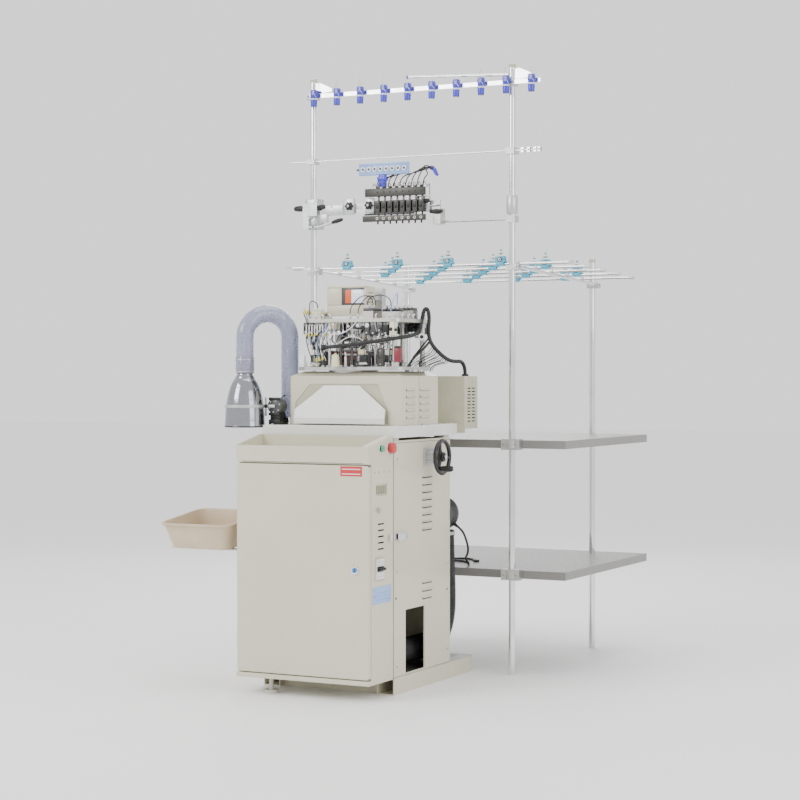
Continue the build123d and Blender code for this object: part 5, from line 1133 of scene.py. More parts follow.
class KNIT_OT_cams(Operator):
    """The wine-red cam ring with bright bands, its bolts and the selector blocks"""

    bl_idname = "knit.cams"
    bl_label = "Cam ring and selectors"

    def execute(self, context):
        bm = bmesh.new()
        lathe(bm, [(64.6, 1132), (112, 1132), (113, 1133), (113, 1139), (112, 1140),
                   (105.4, 1140.6),
                   (104.6, 1142), (104.6, 1163), (106, 1164)], (0, 0, 0), UP, 72, 0)
        lathe(bm, [(105, 1163.8), (109.4, 1163.8), (110, 1164.6), (110, 1169.4), (109.4, 1170.2),
                   (105, 1170.2)], (0, 0, 0), UP, 72, 1)
        lathe(bm, [(105.6, 1170), (105.4, 1176.6), (104.4, 1178), (93.8, 1178), (93, 1177),
                   (93, 1172.4), (92, 1172)], (0, 0, 0), UP, 72, 0)
        lathe(bm, [(92.8, 1172.1), (52, 1172.1), (50, 1171), (49.6, 1168), (49.6, 1143),
                   (64.4, 1141), (64.4, 1132)], (0, 0, 0), UP, 72, 1)
        for step in range(12):
            spot = polar(99.3, 30 * step + 10, 1178)
            screw(bm, spot, UP, 3.2, 2, 3)
        for step in range(24):
            spot = polar(78, 15 * step, 1172.2)
            screw(bm, spot, UP, 2.3 + (step % 3) * 0.4, 2, 3)
        for step in range(16):
            spot = polar(104.8, 22.5 * step + 4, 1152)
            screw(bm, spot, (spot.x, spot.y, 0), 2.8, 2, 3)
        for step in range(8):
            angle = 45 * step + 18
            middle = polar(84, angle, 0)
            brick(bm, (middle.x - 6, middle.y - 13, 1172),
                  (middle.x + 5, middle.y + 13, 1178.6 + step % 3),
                  1, 1, turn=turned(angle), about=(middle.x, middle.y, 1174))
        finish_piece(bm, "cam_ring_body", ["wine", "ground", "zinc", "black"], "machine",
                     ["cam_ring"])

        bm = bmesh.new()
        for order, angle in enumerate(SELECTOR_ANGLES):
            about = polar(138, angle, 1132)
            turn = turned(angle)

            turned_brick(bm, about, turn, (-23, -14, 0), (23, 14, 7), 0.8, 2)
            turned_brick(bm, about, turn, (-22, -13, 7), (20, 13, 34), 1.2, 0)
            turned_brick(bm, about, turn, (-20, -11.5, 34), (17, 11.5, 52), 1.4,
                         3 if order % 2 else 1)
            for slot in range(5):
                turned_brick(bm, about, turn, (19.6, -10.4 + 4.4 * slot, 10),
                             (20.8, -7.6 + 4.4 * slot, 30), 0.2, 4)
            for slot in range(6):
                turned_brick(bm, about, turn, (-21.8 + 7 * slot, -13.6, 11),
                             (-17.4 + 7 * slot, 13.6, 30), 0.4, 2)
            for side in (-1, 1):
                spot = about + turn @ Vector((4, side * 7.5, 0)) + up(52)
                screw(bm, spot, UP, 2.2, 2, 4)
            turned_brick(bm, about, turn, (-8, -3.5, 52), (6, 3.5, 57.6), 0.8, 4)
        finish_piece(bm, "selector_units", ["slate", "ivory", "zinc", "white", "black"], "machine",
                     ["selector_blocks"])
        return {"FINISHED"}


class KNIT_OT_yarn_fingers(Operator):
    """The yarn finger units under the top plate: housings, blades, springs and eyelets"""

    bl_idname = "knit.yarn_fingers"
    bl_label = "Yarn fingers"

    def execute(self, context):
        bm = bmesh.new()
        for order, angle in enumerate((250, 300, 350, 60, 120, 195)):
            about = polar(92, angle, 1265)
            turn = turned(angle)

            turned_brick(bm, about, turn, (-14, -15, -14), (14, 15, -9), 0.5, 0)
            turned_brick(bm, about, turn, (-13, -14, -9), (13, 14, 14.8), 1.2,
                         (1, 3, 2)[order % 3])
            for blade in range(4):
                y = -10 + 6.4 * blade
                turned_brick(bm, about, turn, (-15.5, y, -50), (-13.8, y + 3.6, -8), 0.3, 0)
                bar(bm, about + turn @ Vector((-14.6, y + 1.8, -50)),
                    about + turn @ Vector((-22, y + 1.8, -56)), 1.1, finish=0, sides=8)
                ring(bm, about + turn @ Vector((-22, y + 1.8, -56)),
                     turn @ Vector((1, 0, 0.6)), 1.9, 0.6, 4, 12, 6)
                bar(bm, about + turn @ Vector((8, y + 1.8, -14)),
                    about + turn @ Vector((8, y + 1.8, -24)), 1.7, finish=0, sides=10)
            for side in (-1, 1):
                screw(bm, about + turn @ Vector((14, side * 9, 2)), turn @ Vector((1, 0, 0)), 2.4,
                      0, 3)
        finish_piece(bm, "finger_units", ["zinc", "ivory", "crimson", "slate", "ceramic"],
                     "machine", ["yarn_fingers"])
        return {"FINISHED"}


class KNIT_OT_head_fittings(Operator):
    """The crowd of air cylinders, valves, fittings and tubes round the knitting head"""

    bl_idname = "knit.head_fittings"
    bl_label = "Head fittings and air tubes"

    def execute(self, context):
        settings = context.scene.knit_head
        chance = random.Random(settings.seed)
        thin = settings.tube_radius / MM
        bm = bmesh.new()
        ends = []
        for order in range(40):
            angle = -118 + 9 * order
            radius = 124 + chance.uniform(-4, 22)
            spot = polar(radius, angle, 1124.4)
            tall = chance.uniform(26, 96)
            if any(abs((angle - busy + 180) % 360 - 180) < 9 for busy in SELECTOR_ANGLES):
                continue
            bar(bm, spot, spot + up(tall), 4.5, finish=chance.choice((0, 1, 3, 6)), sides=16,
                bevel=0.7)
            bar(bm, spot, spot + up(5), 6.5, finish=1, sides=6)
            bar(bm, spot + up(tall), spot + up(tall + 7), 2.2, finish=1, sides=10)
            ends.append(elbow(bm, spot + up(tall + 2), angle, 4, 1))
        for order in range(15):
            x = -136 + 24.5 * order
            if -40 < x < 90:
                continue
            for y, face in ((-105.6, -1), (150.6, 1)):
                wide = chance.uniform(8, 11)
                low = 1236 + chance.uniform(-6, 14)
                brick(bm, (x - wide, min(y, y - face * 13), low),
                      (x + wide, max(y, y - face * 13), PLATE_LOW),
                      1.2, chance.choice((0, 0, 2, 3, 3)))
                bar(bm, (x, y, low + 8), (x, y + face * 3, low + 8), 3, finish=1, sides=12)
                bar(bm, (x, y - face * 6, low), (x, y - face * 6, low - 12), 2.6, finish=1,
                    sides=10)
                screw(bm, (x - wide * 0.6, y, 1272), (0, face, 0), 1.8, 1, 3)
                screw(bm, (x + wide * 0.6, y, 1272), (0, face, 0), 1.8, 1, 3)
        for x, y in ((-100, -92), (-70, -96), (-40, -98), (70, -98), (40, -98), (140, -98),
                     (190, -90),
                     (224, -60), (226, -20), (226, 20), (226, 110), (-142, -50), (-144, -10),
                     (-144, 40), (-142, 90)):
            bar(bm, (x, y, 1291.5), (x, y, 1298), 4.2, finish=1, sides=6)
            ends.append(elbow(bm, (x, y, 1297), degrees(atan2(y, x)), 4, 1))
        for row, (low_x, high_x, low_y, high_y, tall) in enumerate((
            (-138, -100, -60, 20, 20), (88, 128, -95, -25, 26), (150, 215, -70, -30, 24),
            (100, 215, 40, 80, 30),
        )):
            top = PLATE_TOP + tall
            count = max(2, int(max(high_y - low_y, high_x - low_x) / 15))
            for slot in range(count):
                share = (slot + 0.5) / count
                if high_y - low_y > high_x - low_x:
                    x, y = (low_x + high_x) / 2, low_y + share * (high_y - low_y)
                    half_x, half_y = (high_x - low_x) / 2 - 1, (high_y - low_y) / count / 2 - 0.8
                else:
                    x, y = low_x + share * (high_x - low_x), (low_y + high_y) / 2
                    half_x, half_y = (high_x - low_x) / count / 2 - 0.8, (high_y - low_y) / 2 - 1
                brick(bm, (x - half_x, y - half_y, top), (x + half_x, y + half_y,
                                                          top + 9 + 2 * (row % 2)),
                      1.4, (2, 0, 3, 0)[row])
                screw(bm, (x + half_x * 0.5, y, top + 9 + 2 * (row % 2)), UP, 1.8, 1, 3)
                ends.append(elbow(bm, (x - half_x * 0.4, y - half_y * 0.3,
                                       top + 8 + 2 * (row % 2)),
                                  degrees(atan2(y, x)), 4, 1))
        lathe(bm, [(0, 1124.4), (15, 1124.4), (15.4, 1140), (13.6, 1148), (13.4, 1164),
                   (10, 1166.5), (4, 1167), (4, 1172), (0, 1172)], (0, -133, 0), UP, 32, 2)
        brick(bm, (216, -109, 1140), (240, -95, 1190), 1.4, 5)
        brick(bm, (218, -110, 1188), (238, -97, 1196), 1.0, 3)
        for low_x, high_x, low, high, finish in (
            (-128, -104, 1126, 1200, 4), (-98, -82, 1126, 1180, 2), (-160, -140, 1124.4, 1164, 4),
            (100, 122, 1126, 1176, 3), (150, 176, 1124.4, 1188, 6), (40, 56, 1124.4, 1150, 3),
        ):
            brick(bm, (low_x, -109, low), (high_x, -96, high), 1.6, finish)
            for z in (low + 8, high - 8):
                screw(bm, ((low_x + high_x) / 2, -109, z), FRONT, 2.4, 1, 3)
        finish_piece(bm, "air_fittings",
                     ["slate", "zinc", "ivory", "black", "white", "crimson", "worn"],
                     "machine")

        bm = bmesh.new()
        for order in range(34):
            angle = -150 + 8.2 * order
            radius = 118 + chance.uniform(-8, 12)
            foot = polar(radius, angle, 1196 + chance.uniform(-8, 24))
            head = Vector((foot.x, foot.y, PLATE_LOW))
            if not (-146 < foot.x < 228 and -102 < foot.y < 146):
                continue
            bar(bm, foot, head, 1.9, finish=0, sides=10)
            for stop in range(3):
                z = foot.z + 6 + (head.z - foot.z - 16) * (stop + chance.random() * 0.7) / 3
                wide = chance.uniform(4.5, 9)
                lathe(bm, [(0, -1.6), (wide - 1, -1.6), (wide, -0.8), (wide, 0.8), (wide - 1, 1.6),
                           (0, 1.6)],
                      (foot.x, foot.y, z), polar(1, angle + chance.uniform(-50, 50),
                                                 chance.choice((0, 0.4, 3))),
                      18, chance.choice((0, 1, 2, 3, 3)))
            reach = polar(chance.uniform(12, 22), angle + chance.uniform(-90, 90),
                          chance.uniform(-6, 6))
            bar(bm, foot + up(14), foot + up(14) + reach, 1.6,
                finish=chance.choice((0, 3)), sides=8)
            lathe(bm, [(0, 0), (2.6, 0), (3, 2), (2.6, 5), (0, 5.4)], foot - up(5), UP, 12,
                  chance.choice((1, 2, 4)))
        for order in range(20):
            x = -132 + 18.6 * order
            for y, face in ((-104, -1), (149, 1)):
                z = 1262 + chance.uniform(-34, 8)
                wide = chance.uniform(4, 8)
                lathe(bm, [(0, 0), (wide, 0), (wide, 3), (wide - 1, 4), (2, 4.6), (0, 6)],
                      (x, y, z), (0, face, 0), 20, chance.choice((0, 1, 3)))
                bar(bm, (x, y, z), (x + chance.uniform(-8, 8), y, 1279.6), 1.5, finish=0, sides=8)
        finish_piece(bm, "lever_stacks", ["zinc", "white", "ivory", "black", "crimson"], "machine")

        bm = bmesh.new()
        chance.shuffle(ends)
        for start, end in zip(ends[::2], ends[1::2]):
            middle = (start + end) / 2
            if middle.xy.length < 70:
                middle.xy = middle.xy.normalized() * 96 if middle.xy.length > 1 else Vector((96,
                                                                                             0))
            spread = (start - end).length
            if spread > 190:
                continue
            lift = Vector((0, 0, min(26 + spread * 0.16, 48)))
            out = Vector((middle.x, middle.y, 0)).normalized() * 14
            high = min(start.z, end.z, 1306)
            middle.z = max(start.z, end.z) if high > 1290 else 1226
            if high <= 1290:
                out *= 1.5
                lift *= 0.3
            wire(bm, [start, start + (start - middle).normalized() * 4 + lift * 0.6,
                      middle + out + lift, end + (end - middle).normalized() * 4 + lift * 0.6,
                      end],
                 thin, chance.choice((0, 0, 1, 1, 2)), 6, 5)
        for step in range(9):
            angle = 196 + 7 * step
            foot = polar(150, angle, 1150 + 3 * (step % 3))
            top = polar(126, angle + 4, 1279)
            wire(bm, [foot, foot + Vector((-10, -2, 26)), (foot + top) / 2 + Vector((-16, -6, 14)),
                      top + Vector((-4, 0, -26)), top], thin, (0, 2, 1)[step % 3], 6, 5)
            bar(bm, foot - up(9), foot + up(5), 3.2, finish=3, sides=12, bevel=0.5)
        for step in range(8):
            x = -128 + 11 * step
            bar(bm, (x, -113, 1240), (x, -113, 1272), 2.4, finish=1, sides=10)
            bar(bm, (x, -113, 1232), (x, -113, 1241), 3.0, finish=3, sides=10, bevel=0.5)
            wire(bm, [(x, -113, 1233), (x + 3, -120, 1212), (x + 14, -124, 1186),
                      (x + 20, -118, 1160), (x + 24, -113, 1146)], thin, (0, 1)[step % 2], 6, 5)
        for step in range(7):
            x, y = -150 - 2 * (step % 3), -66 + 9 * step
            tip = Vector((x - 12 + 3 * (step % 2), y - 6, 1312 + 5 * (step % 3)))
            wire(bm, [(x, y, 1236), (x - 6, y - 2, 1262), (x - 3, y, 1290), tip], 1.9,
                 (0, 1)[step % 2], 6, 5)
            lathe(bm, [(0, -4), (2.6, -4), (3.2, 0), (2.4, 8), (0.8, 12), (0, 12.4)], tip,
                  (-0.4, -0.2, 1), 12, 3)
            brick(bm, (x - 6, y - 4, 1224), (x + 4, y + 4, 1238), 1.0, (0, 1)[step % 2])
        finish_piece(bm, "air_tubes", ["black", "white", "pale_blue", "yellow"], "machine")
        return {"FINISHED"}


class KNIT_OT_head_frame(Operator):
    """Bolts, collars and edge trim of the head's bed, pillars and top plate"""

    bl_idname = "knit.head_frame"
    bl_label = "Head frame details"

    def execute(self, context):
        bm = bmesh.new()
        for x, y in PILLARS:
            lathe(bm, [(9.1, 1138), (13, 1138), (14, 1140), (11, 1146), (9.1, 1147)],
                  (x, y, 0), UP, 24, 0, closed=True)
            lathe(bm, [(9.1, 1262), (12, 1263), (12, PLATE_LOW), (9.1, PLATE_LOW)],
                  (x, y, 0), UP, 24, 0, closed=True)
            screw(bm, (x, y, PLATE_TOP), UP, 7, 0, 1)
        for x, y in ((-160, -96), (-160, 40), (-160, 150), (60, -96), (226, -96), (226, 40),
                     (226, 150)):
            screw(bm, (x, y, BED_TOP), UP, 5, 0, 1)
        for angle in range(0, 360, 60):
            screw(bm, polar(20, angle + 30, 1240), (0, 0, -1), 2.6, 0, 1)
        finish_piece(bm, "head_bolts", ["zinc", "black"])
        bm = bmesh.new()
        brick(bm, (-120, -98, 1124.3), (-40, -90, 1150), 1, 0)
        brick(bm, (40, -104, 1124.3), (98, -94, 1142), 1, 0)
        for x in (-112, -92, -72, -52):
            bar(bm, (x, -94, 1150), (x, -94, 1166), 4, finish=0, sides=18, bevel=0.8)
            bar(bm, (x, -94, 1166), (x, -94, 1172), 2.2, finish=1, sides=12)
        for x in (50, 68, 86):
            screw(bm, (x, -104, 1133), FRONT, 3, 1, 0)
        finish_piece(bm, "bed_terminals", ["slate", "zinc"])
        return {"FINISHED"}


class KNIT_OT_display(Operator):
    """The operator display: rounded case, recessed screen and an orange strip"""

    bl_idname = "knit.display"
    bl_label = "Display box"

    def execute(self, context):
        bm = bmesh.new()
        brick(bm, (-97, -16, 1306), (62, 48, 1412), 5, 0, segments=3)
        brick(bm, (-97, -20, 1306), (62, -15, 1343), 2.0, 0)
        brick(bm, (-97, -20, 1404), (62, -15, 1412), 2.0, 0)
        brick(bm, (-97, -20, 1343), (-38, -15, 1404), 2.0, 0)
        brick(bm, (53, -20, 1343), (62, -15, 1404), 2.0, 0)
        brick(bm, (-38, -16.8, 1343), (53, -15.6, 1404), 0.4, 3)
        brick(bm, (0, -18.2, 1350), (52, -16.4, 1397), 0.8, 1)
        brick(bm, (-24, -17.6, 1350), (-1.5, -16.4, 1397), 0.3, 2)
        for x in (-91, 56):
            for z in (1311, 1408):
                screw(bm, (x, -20, z), FRONT, 1.8, 4, 3)
        for slot in range(6):
            z = 1330 + 11 * slot
            brick(bm, (61.4, -6, z), (62.3, 34, z + 3), 0.2, 3)
        finish_piece(bm, "display_case", ["cream", "screen", "orange", "slate", "zinc"], "display",
                     ["display_box"])
        return {"FINISHED"}


class KNIT_OT_wire_loom(Operator):
    """The black loom from the head, its white ring, the loop above it and its fan of wires"""

    bl_idname = "knit.wire_loom"
    bl_label = "Wire loom"

    ROUTE = [
        (-60, -132, 1191), (40, -138, 1198), (130, -136, 1208), (200, -118, 1219),
             (228, -60, 1227),
        (233, 10, 1234), (231, 60, 1250), (229, 84, 1290), (233, 94, 1330), (246, 98, 1330),
        (251, 100, 1295), (246, 98, 1245), (250, 114, 1206), (264, 156, 1172), (268, 220, 1148),
        (267, 280, 1144), (266, 336, 1146), (266, 366, 1121), (266, 366, 1091.5),
    ]

    def execute(self, context):
        bm = bmesh.new()
        line = spaced(smooth_line(self.ROUTE, 10), 1.9)
        tube(bm, line, [6.7 + 0.4 * sin(tau * step / 4) for step in range(len(line))],
             14, 0)
        lathe(bm, [(7.2, -9), (9.4, -9), (9.8, -6), (9.8, 6), (9.4, 9), (7.2, 9)],
              (-52, -132.6, 1191.5), (1, -0.05, 0.05), 24, 0, closed=True)
        bar(bm, (-60, -132, 1191), (-66, -120, 1176), 6.6, finish=0, sides=16, bevel=1)
        lathe(bm, [(7.2, 0), (13, 0), (13, 6), (10, 8), (7.2, 8)], (266, 366, 1091.3), UP, 24, 0,
              closed=True)
        finish_piece(bm, "black_loom", ["rubber"], "machine", ["cable_loom"])
        bm = bmesh.new()
        middle = Vector((247, 46, 1229))
        face = Vector((0.45, -0.88, 0.1)).normalized()
        lathe(bm, [(6.6, -4), (8, -5), (11.4, -5), (12.6, -3), (12.6, 3), (11.4, 5), (8, 5),
                   (6.6, 4)], middle, face, 36, 0, closed=True)
        lathe(bm, [(0, -4), (6.9, -4), (6.9, 2.6), (5.4, 3.8), (0, 4.2)], middle, face, 24, 1)
        bar(bm, middle - face * 4, middle + Vector((-8, 16, 0)), 4, finish=2, sides=14)
        bar(bm, (214, 60, 1229), (240, 60, 1229), 3.4, finish=2, sides=14)
        finish_piece(bm, "cable_ring", ["white", "black", "zinc"])
        bm = bmesh.new()
        chance = random.Random(3)
        wire(bm, [(249, 106, 1214), (240, 90, 1194), (226, 50, 1166), (214, 20, 1140),
                  (206, 4, 1109)], 4.2, 0, 10, 7)
        wire(bm, [(249, 104, 1230), (238, 84, 1205), (222, 70, 1180), (196, 66, 1150),
                  (188, 60, 1109)], 3.0, 0, 10, 7)
        for step in range(11):
            share = step / 10
            start = Vector((252 + 14 * share, 118 + 100 * share, 1200 - 48 * share))
            foot = Vector((200 + 24 * share + chance.uniform(-6, 6), 20 + 150 * share, 1108.5))
            bow = Vector((10 + 6 * sin(step * 2.1), -8, 6))
            wire(bm, [start, start + Vector((2, -4, -16)), start.lerp(foot, 0.5) + bow,
                      foot + Vector((5, 0, 18)), foot], 1.3 + 0.6 * (step % 2),
                 chance.choice((0, 0, 1)), 6, 6)
        for step in range(9):
            x = -60 + 27 * step
            wire(bm, [(x, -134, 1194 + 0.08 * x), (x + 4, -124, 1214), (x + 8, -112, 1228),
                      (x + 6, -100, 1244)], 1.5, step % 2, 6, 5)
            wire(bm, [(x + 8, -134, 1190 + 0.08 * x), (x + 10, -128, 1172), (x + 4, -118, 1160),
                      (x + 2, -106, 1150)], 1.2, 0, 6, 5)
        finish_piece(bm, "fine_wires", ["black", "slate"])
        return {"FINISHED"}


# ---------------------------------------------------------------- creel
GUIDES = [
    (-270 + (112 if bar_index % 2 else 0) + 213 * guide, 449.5 + 157 * bar_index)
    for bar_index in range(5) for guide in range(4)
]


def bar_height(y):
    """Height of a creel bar's centreline, on side rails that slope to the rear."""
    return 1492 - 36 * (y - 430) / 799 + 11.2


class KNIT_OT_creel_guides(Operator):
    """The cyan guide blocks on the creel's bars, each with an eyelet and a disc tension unit"""

    bl_idname = "knit.creel_guides"
    bl_label = "Creel guides"

    def execute(self, context):
        settings = context.scene.knit_creel
        disc = settings.disc_radius / MM
        eyelet = settings.eyelet_radius / MM
        bm = bmesh.new()
        for x, y in GUIDES:
            z = bar_height(y)
            brick(bm, (x - 20, y - 11, z + 5.2), (x + 24, y + 11, z + 14), 1.6, 0)
            brick(bm, (x - 18, y - 9, z + 13), (x + 22, y + 9, z + 29), 3.0, 0)
            for side in (-1, 1):
                brick(bm, (x - 14, y + side * 8 - 3, z - 6.5), (x + 18, y + side * 8 + 3, z + 6),
                      1.2, 0)
            brick(bm, (x - 6, y - 12.2, z + 8), (x + 10, y - 10.4, z + 24), 0.8, 1)
            ring(bm, (x + 2, y - 12.4, z + 16), BACK, eyelet - 1.2, 1.4, 2, 18, 8)
            screw(bm, (x + 17, y - 9.2, z + 20), FRONT, 2.4, 3, 1)
        finish_piece(bm, "cyan_guides", ["cyan", "slate", "ceramic", "zinc"], "machine",
                     ["yarn_guides"])
        bm = bmesh.new()
        for x, y in GUIDES:
            z = bar_height(y) + 29
            bar(bm, (x + 2, y, z - 4), (x + 2, y, z + 25), 1.6, sides=10)
            lathe(bm, [(1.7, 8.0), (disc * 0.55, 8.4), (disc * 0.9, 6.8), (disc, 5.4),
                       (disc * 0.94, 5.6),
                       (disc * 0.55, 7.6), (1.7, 7.3)], (x + 2, y, z), UP, 22, 0, closed=True)
            lathe(bm, [(1.7, 8.4), (disc * 0.55, 8.8), (disc * 0.9, 10.4), (disc, 11.8),
                       (disc * 0.94, 12.4), (disc * 0.55, 9.6), (1.7, 9.2)], (x + 2, y, z), UP, 22,
                  0, closed=True)
            for turn in range(4):
                ring(bm, (x + 2, y, z + 12.5 + 2.2 * turn), (0.04, 0, 1), 3.1, 0.45, 0, 14, 5)
            lathe(bm, [(0, 26), (4.2, 25.6), (5.2, 24), (5.2, 20.4), (4.2, 19.6), (0, 19.6)],
                  (x + 2, y, z), UP, 18, 1)
            wire(bm, [(x - 12, y, z), (x - 12, y, z + 12), (x - 12, y - 6, z + 19),
                      (x - 8, y - 12, z + 17), (x - 6, y - 10, z + 11)], 0.9, 0, 6, 4)
            ring(bm, (x - 6, y - 10, z + 9), (0.3, 1, 0), 2.4, 0.9, 2, 14, 6)
        finish_piece(bm, "disc_tensioners", ["chrome", "cyan", "ceramic"], "machine",
                     ["guide_tensioners"])
        return {"FINISHED"}


class KNIT_OT_creel_clamps(Operator):
    """Pole caps, clamp screws, bar end clips and shelf rivets of the creel"""

    bl_idname = "knit.creel_clamps"
    bl_label = "Creel clamps and caps"

    def execute(self, context):
        bm = bmesh.new()
        for x, y, top in ((-405, 430, 2229), (425, 430, 2229), (-405, 1229, 1560),
                          (425, 1229, 1560)):
            lathe(bm, [(12.6, -14), (13.5, -14), (13.6, -4), (12.6, -1.6), (8, -0.4), (0, -0.1)],
                  (x, y, top), UP, 32, 0)
        finish_piece(bm, "pole_caps", ["putty"])
        bm = bmesh.new()
        for x in (-405, 425):
            for z in (366, 842):
                for side in (-1, 1):
                    start = Vector((x + side * 26, 411.6, z))
                    screw(bm, start, FRONT, 6, 1, 0)
                    bar(bm, start, start - Vector((0, 3, 0)), 7.5, finish=0, sides=6)
                brick(bm, (x - 16, 408.8, z - 13), (x + 16, 411.8, z + 13), 0.8, 0)
        for x in (-386.3, 443.7):
            side = 1 if x > 0 else -1
            for y, z in ((430, 1492), (1229, 1456)):
                lathe(bm, [(6.3, -9), (9.5, -9), (10, -7), (10, 7), (9.5, 9), (6.3, 9)], (x, y, z),
                      BACK, 24, 0, closed=True)
                screw(bm, (x + side * 10, y, z), (side, 0, 0), 4, 1, 0)
            for index in range(5):
                y = 449.5 + 157 * index
                z = bar_height(y)
                brick(bm, (x - 7, y - 6.5, z - 7), (x + 7, y + 6.5, z + 6.4), 1.2, 0)
                screw(bm, (x, y, z + 6.3), UP, 3.2, 1, 0)
        finish_piece(bm, "clamp_screws", ["zinc", "black"])
        bm = bmesh.new()
        for top in (381, 857):
            for y in (452, 1200):
                for x in (-380, -120, 160, 440, 600):
                    bar(bm, (x, y, top - 0.5), (x, y, top + 0.7), 4.6, finish=0, sides=16)
        finish_piece(bm, "shelf_rivets", ["zinc"])
        return {"FINISHED"}


class KNIT_OT_top_tensioners(Operator):
    """The row of blue spring tensioners along the top rail, with white bands and wire loops"""

    bl_idname = "knit.top_tensioners"
    bl_label = "Top tensioners"

    def execute(self, context):
        bm = bmesh.new()
        for index in range(10):
            x = -385 + 100 * index
            brick(bm, (x - 11, 387, 2150), (x + 11, 409.2, 2182), 3.2, 0)
            brick(bm, (x - 13.5, 391, 2158), (x + 13.5, 405, 2174), 2.0, 0)
            lathe(bm, [(0, 2118), (10.2, 2118), (12.2, 2120), (12.6, 2128), (13, 2138),
                       (13, 2150.5), (0, 2150.5)], (x, 396, 0), UP, 28, 0)
            lathe(bm, [(13.0, 2144), (13.4, 2144.4), (13.4, 2148.6), (13.0, 2149)], (x, 396, 0),
                  UP, 28, 1, closed=True)
            lathe(bm, [(9.6, 2118.2), (10.8, 2117.6), (11.6, 2118.6), (11.0, 2120)], (x, 396, 0),
                  UP, 24, 2, closed=True)
            ring(bm, (x, 396, 2118.8), UP, 4.2, 1.2, 3, 18, 6)
            screw(bm, (x, 387, 2166), FRONT, 3.4, 4, 2)
            wire(bm, [(x - 5, 396, 2180), (x - 6, 396, 2196), (x - 1, 396, 2211),
                      (x + 1, 396, 2211), (x + 6, 396, 2196), (x + 5, 396, 2180)], 0.9, 4, 6, 5)
            for turn in range(4):
                ring(bm, (x + 3, 385.8, 2176 - 3 * turn), BACK, 3.0, 0.6, 4, 12, 5)
            wire(bm, [(x + 3, 386, 2166), (x + 12, 384, 2160), (x + 16, 384, 2150),
                      (x + 13, 386, 2140)], 0.8, 4, 6, 4)
        finish_piece(bm, "blue_tensioners", ["blue", "white", "black", "ceramic", "zinc"],
                     "machine", ["tensioners"])
        bm = bmesh.new()
        for x, side in ((-405, -1), (425, 1)):
            brick(bm, (x - 17, 406, 2146), (x + 17, 417.6, 2174), 2, 0)
            screw(bm, (x - 9, 406, 2160), FRONT, 4, 1, 0)
            screw(bm, (x + 9, 406, 2160), FRONT, 4, 1, 0)
            lathe(bm, [(12.7, -12), (16, -12), (17, -10), (17, 10), (16, 12), (12.7, 12)],
                  (x, 430, 2160), UP, 32, 0, closed=True)
        for x in (475, 500, 525, 541):
            brick(bm, (x - 5, 406.5, 1904), (x + 5, 418, 1918), 1.2, 1 if x > 530 else 0)
            bar(bm, (x, 406.6, 1911), (x, 403, 1911), 3.0, finish=1, sides=10)
        brick(bm, (408, 408.5, 1902), (446, 417.6, 1920), 2, 0)
        lathe(bm, [(12.7, -10), (16, -10), (17, -8), (17, 8), (16, 10), (12.7, 10)],
              (425, 430, 1911), UP, 32, 0, closed=True)
        lathe(bm, [(0, -9), (4, -8), (6.4, -4), (6.9, 0), (6.4, 4), (4, 6), (0, 6.6)],
              (-2, 430, 2209), (-1, 0, 0.05), 18, 2)
        finish_piece(bm, "rail_clamps", ["zinc", "black", "blue"])
        return {"FINISHED"}


